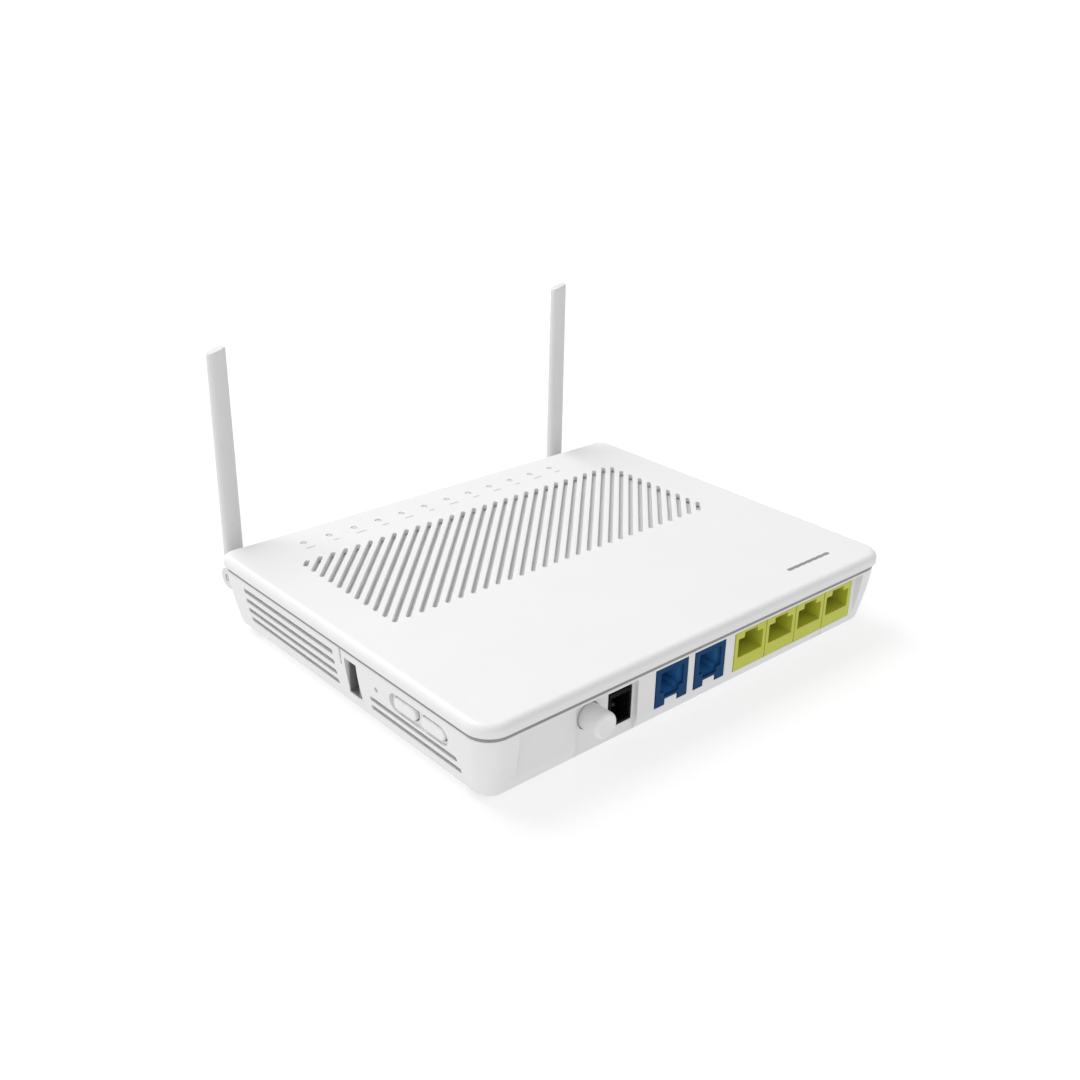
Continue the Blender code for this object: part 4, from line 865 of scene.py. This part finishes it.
# ---- antennas ------------------------------------------------------------------------------
def make_antenna(side, x):
    wall = CASE_D - tray_inset(TILT_Z + SWIVEL_R)
    face = wall + 1.6 + GAP
    shaft = ((SHAFT_R, wall - 5.6), (SHAFT_R, face), (SWIVEL_R - 0.2, face), (SWIVEL_R, face + 0.2),
             (SWIVEL_R, face + 1.4), (SWIVEL_R - 0.15, face + 1.8), (SWIVEL_R - 0.6, face + 2.2))
    bm = bmesh.new()
    turned(bm, x, TILT_Z, shaft, 'Y', 64)
    swivel = piece(f"swivel_{side}_ears", bm, "antenna_white", f"swivel_{side}", [f"antenna_swivel_{side}"])
    bm = bmesh.new()
    half, ear = BLADE_W / 2, 1.5
    for x0, x1 in ((x - half, x - half + ear), (x + half - ear, x + half)):
        outline = [(face + 1.2, TILT_Z - EAR_R)]
        steps = 24
        for k in range(steps + 1):
            angle = math.radians(-90 + 180 * k / steps)
            outline.append((TILT_Y + EAR_R * math.cos(angle), TILT_Z + EAR_R * math.sin(angle)))
        outline.append((face + 1.2, TILT_Z + EAR_R))
        prism(bm, outline, 'X', x0, x1)
    combine(swivel, bm, 'UNION')
    bm = bmesh.new()
    rod(bm, TILT_Y, TILT_Z, PIN_R, 'X', x - half - 1, x + half + 1)
    combine(swivel, bm)
    soften(swivel, 0.2)

    half_w, half_t = BLADE_W / 2, BLADE_T / 2
    shoulder = TILT_Z + BLADE_START
    levels = [(shoulder, 0.45), (shoulder + 0.12, 0.2), (shoulder + 0.35, 0.06), (shoulder + 0.7, 0.0)]
    levels += [(shoulder + (BLADE_TOP - shoulder) * k / 8, 0.15 * k / 8) for k in range(1, 8)]
    levels += [(BLADE_TOP - 0.9, 0.15), (BLADE_TOP - 0.45, 0.22), (BLADE_TOP - 0.15, 0.4), (BLADE_TOP, 0.75)]
    rings = []
    for z, inset in levels:
        outline = superellipse(x, TILT_Y, half_w - inset, half_t - inset)
        share = max(0.0, (z - TILT_Z - 60.0) / (BLADE_TOP - TILT_Z - 60.0))
        slant = BLADE_SLANT * share
        rings.append([(u, v, z - slant * (x + half_w - u) / BLADE_W) for u, v in outline])
    bm = bmesh.new()
    loft(bm, rings)
    blade = piece(f"blade_{side}_skin", bm, "antenna_white", f"blade_{side}", [f"antenna_blade_{side}"])
    eye = half_w - 1.5 - GAP
    outline = [(TILT_Y + half_t - 0.3, shoulder + 1.5), (TILT_Y - half_t + 0.3, shoulder + 1.5)]
    radius = EAR_R - 0.6
    steps = 30
    for k in range(steps + 1):
        angle = math.radians(160 + 220 * k / steps)
        outline.append((TILT_Y + radius * math.cos(angle), TILT_Z + radius * math.sin(angle)))
    bm = bmesh.new()
    prism(bm, outline, 'X', x - eye, x + eye)
    combine(blade, bm, 'UNION')
    bm = bmesh.new()
    rod(bm, TILT_Y, TILT_Z, PIN_R, 'X', x - eye - 1, x + eye + 1)
    combine(blade, bm)
    soften(blade, angle=45)


# ---- underside and fixings -----------------------------------------------------------------
def make_feet():
    for k, (x, y) in enumerate(FEET):
        bm = bmesh.new()
        profile = [(FOOT_R - 1.6, 0.25), (FOOT_R - 1.3, 0.05), (FOOT_R - 1.1, 0.0), (FOOT_R - 0.6, 0.0),
                   (FOOT_R - 0.18, 0.18), (FOOT_R, 0.6), (FOOT_R, FOOT_POCKET - GAP)]
        turned(bm, x, y, profile, 'Z', 56)
        foot = piece(f"foot_pad_{k + 1}", bm, "grey_rubber", "housing", [f"foot_{k + 1}"])
        soften(foot, angle=ROUND_ANGLE)


def make_case_screws():
    for k, (x, y) in enumerate(CASE_POSTS):
        profile = ((1.2, 3.2), (2.3, 3.3), (2.7, 3.6), (2.7, 4.6), (1.3, 5.3), (1.3, 16.5), (0.6, 17.4))
        bm = bmesh.new()
        turned(bm, x, y, profile, 'Z', 32)
        screw = piece(f"case_screw_head_{k + 1}", bm, "tinned_steel", "housing", [f"case_screw_{k + 1}"])
        for half_x, half_y, top in ((1.5, 0.28, 4.3), (0.28, 1.5, 4.2)):
            bm = bmesh.new()
            box(bm, (x - half_x, x + half_x), (y - half_y, y + half_y), (3.0, top))
            combine(screw, bm)
        soften(screw)


def make_seam_painted_shade():
    """A grey ring all round, just inside the gap between tray and cover: painted shade that darkens the seam line,
    not a part of the real case.
    """
    bm = bmesh.new()
    outer, inner, low, high = 1.0, TONGUE_OUT - 0.05, SEAM_LOW + 0.01, SEAM_HIGH - 0.02
    rings = [case_ring(outer, low), case_ring(outer, high), case_ring(inner, high), case_ring(inner, low)]
    loft(bm, rings, closed=True)
    soften(piece("seam_painted_shade_ring", bm, "grey_rubber", "housing", material=SEAM_SHADE_PAINT))


def make_slot_painted_shade_sheets():
    """Thin dark sheets close behind the slots in the side and rear walls: painted shade that stands in for the
    shade inside the case.
    """
    inside, sheet = 5.5, 0.2
    left, right = (inside, inside + sheet), (CASE_W - inside - sheet, CASE_W - inside)
    rear = (CASE_D - inside - sheet, CASE_D - inside)
    shade_sheets = {"left_rear": (left, (71.0, 128.0), (6.0, 21.0)), "left_front": (left, (15.0, 57.5), (5.6, 13.2)),
             "right_front": (right, (16.0, 52.0), (6.0, 21.0)), "right_rear": (right, (90.0, 126.0), (6.0, 21.0)),
             "rear_left": ((32.0, 80.0), rear, (6.0, 17.5)), "rear_right": ((96.0, 144.0), rear, (6.0, 17.5))}
    for name, extents in shade_sheets.items():
        bm = bmesh.new()
        box(bm, *extents)
        soften(piece("slot_painted_shade_" + name, bm, "black_plastic", "housing"), 0.05)


# ---- print ---------------------------------------------------------------------------------
INDICATOR_REACHES = (1.5, 0.9, 1.8, 1.2)         # half lengths of the dashes by the lights, in turn
INDICATOR_BELOW, INDICATOR_HALF = 4.6, 0.28
MARK_COUNT, MARK_FIRST, MARK_PITCH = 7, 138.6, 3.1
MARK_Y, MARK_REACH, MARK_HALF = 11.5, 0.95, 0.75
LABEL_REACHES, LABEL_MARGIN, LABEL_PITCH, LABEL_HALF = (18.0, 24.0, 14.0, 22.0, 20.0), 5.0, 4.4, 0.7


def make_marks(name, bars, axis, low, high, slot="white_case", ink=None):
    """Flat printed bars with round ends, each (u0, v0, u1, v1, half width)."""
    bm = bmesh.new()
    for u0, v0, u1, v1, half in bars:
        prism(bm, pill(u0, v0, u1, v1, half, 4), axis, low, high)
    piece(name, bm, slot, "housing", material=ink or INK)


def print_marks():
    top = (CASE_H - 0.02, CASE_H + 0.03)
    bars = []
    for k in range(LED_COUNT):
        x = LED_FIRST + LED_PITCH * k
        reach = INDICATOR_REACHES[k % len(INDICATOR_REACHES)]
        bars.append((x - reach, LED_Y - INDICATOR_BELOW, x + reach, LED_Y - INDICATOR_BELOW, INDICATOR_HALF))
    make_marks("indicator_marks", bars, 'Z', *top)

    bars = []
    for k in range(MARK_COUNT):
        x = MARK_FIRST + MARK_PITCH * k
        bars.append((x - MARK_REACH, MARK_Y, x + MARK_REACH, MARK_Y, MARK_HALF))
    make_marks("generic_maker_mark", bars, 'Z', *top, ink=DARK_INK)

    bars = []
    left = LABEL[0] + LABEL_MARGIN
    for row, reach in enumerate(LABEL_REACHES):
        y = LABEL[3] - LABEL_MARGIN - LABEL_PITCH * row
        bars.append((left, y, left + reach, y, LABEL_HALF))
    low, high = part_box("rating_label")
    make_marks("label_lines", bars, 'Z', low.z / MM - 0.03, low.z / MM + 0.02, "label_paper")


# ---- carried-over CAD nodes ---------------------------------------------------------------
def dress_cad_nodes():
    """Every CAD node takes its slot's material; a bevel takes the razor edges off the shown ones."""
    for part in frame["record"]["subparts"]:
        node = frame["nodes"][part["node"]]
        node.data.materials.clear()
        node.data.materials.append(MATERIALS[part["material_slot"]])
        if node.hide_render:
            continue
        weld = node.modifiers.new("weld", 'WELD')
        weld.merge_threshold = 0.005 * MM
        bevel = node.modifiers.new("rounded_edges", 'BEVEL')
        bevel.width = 0.08 * MM
        bevel.limit_method = 'ANGLE'
        bevel.angle_limit = math.radians(EDGE_ANGLE)


make_camera()
make_studio()
make_cover()
make_tray()
make_lan_block()
make_phone_blocks()
make_power_block()
make_knob()
make_usb()
make_side_caps()
make_optical_port()
for side, x in ANTENNAS.items():
    make_antenna(side, x)
make_feet()
make_case_screws()
make_seam_painted_shade()
make_slot_painted_shade_sheets()
print_marks()
dress_cad_nodes()
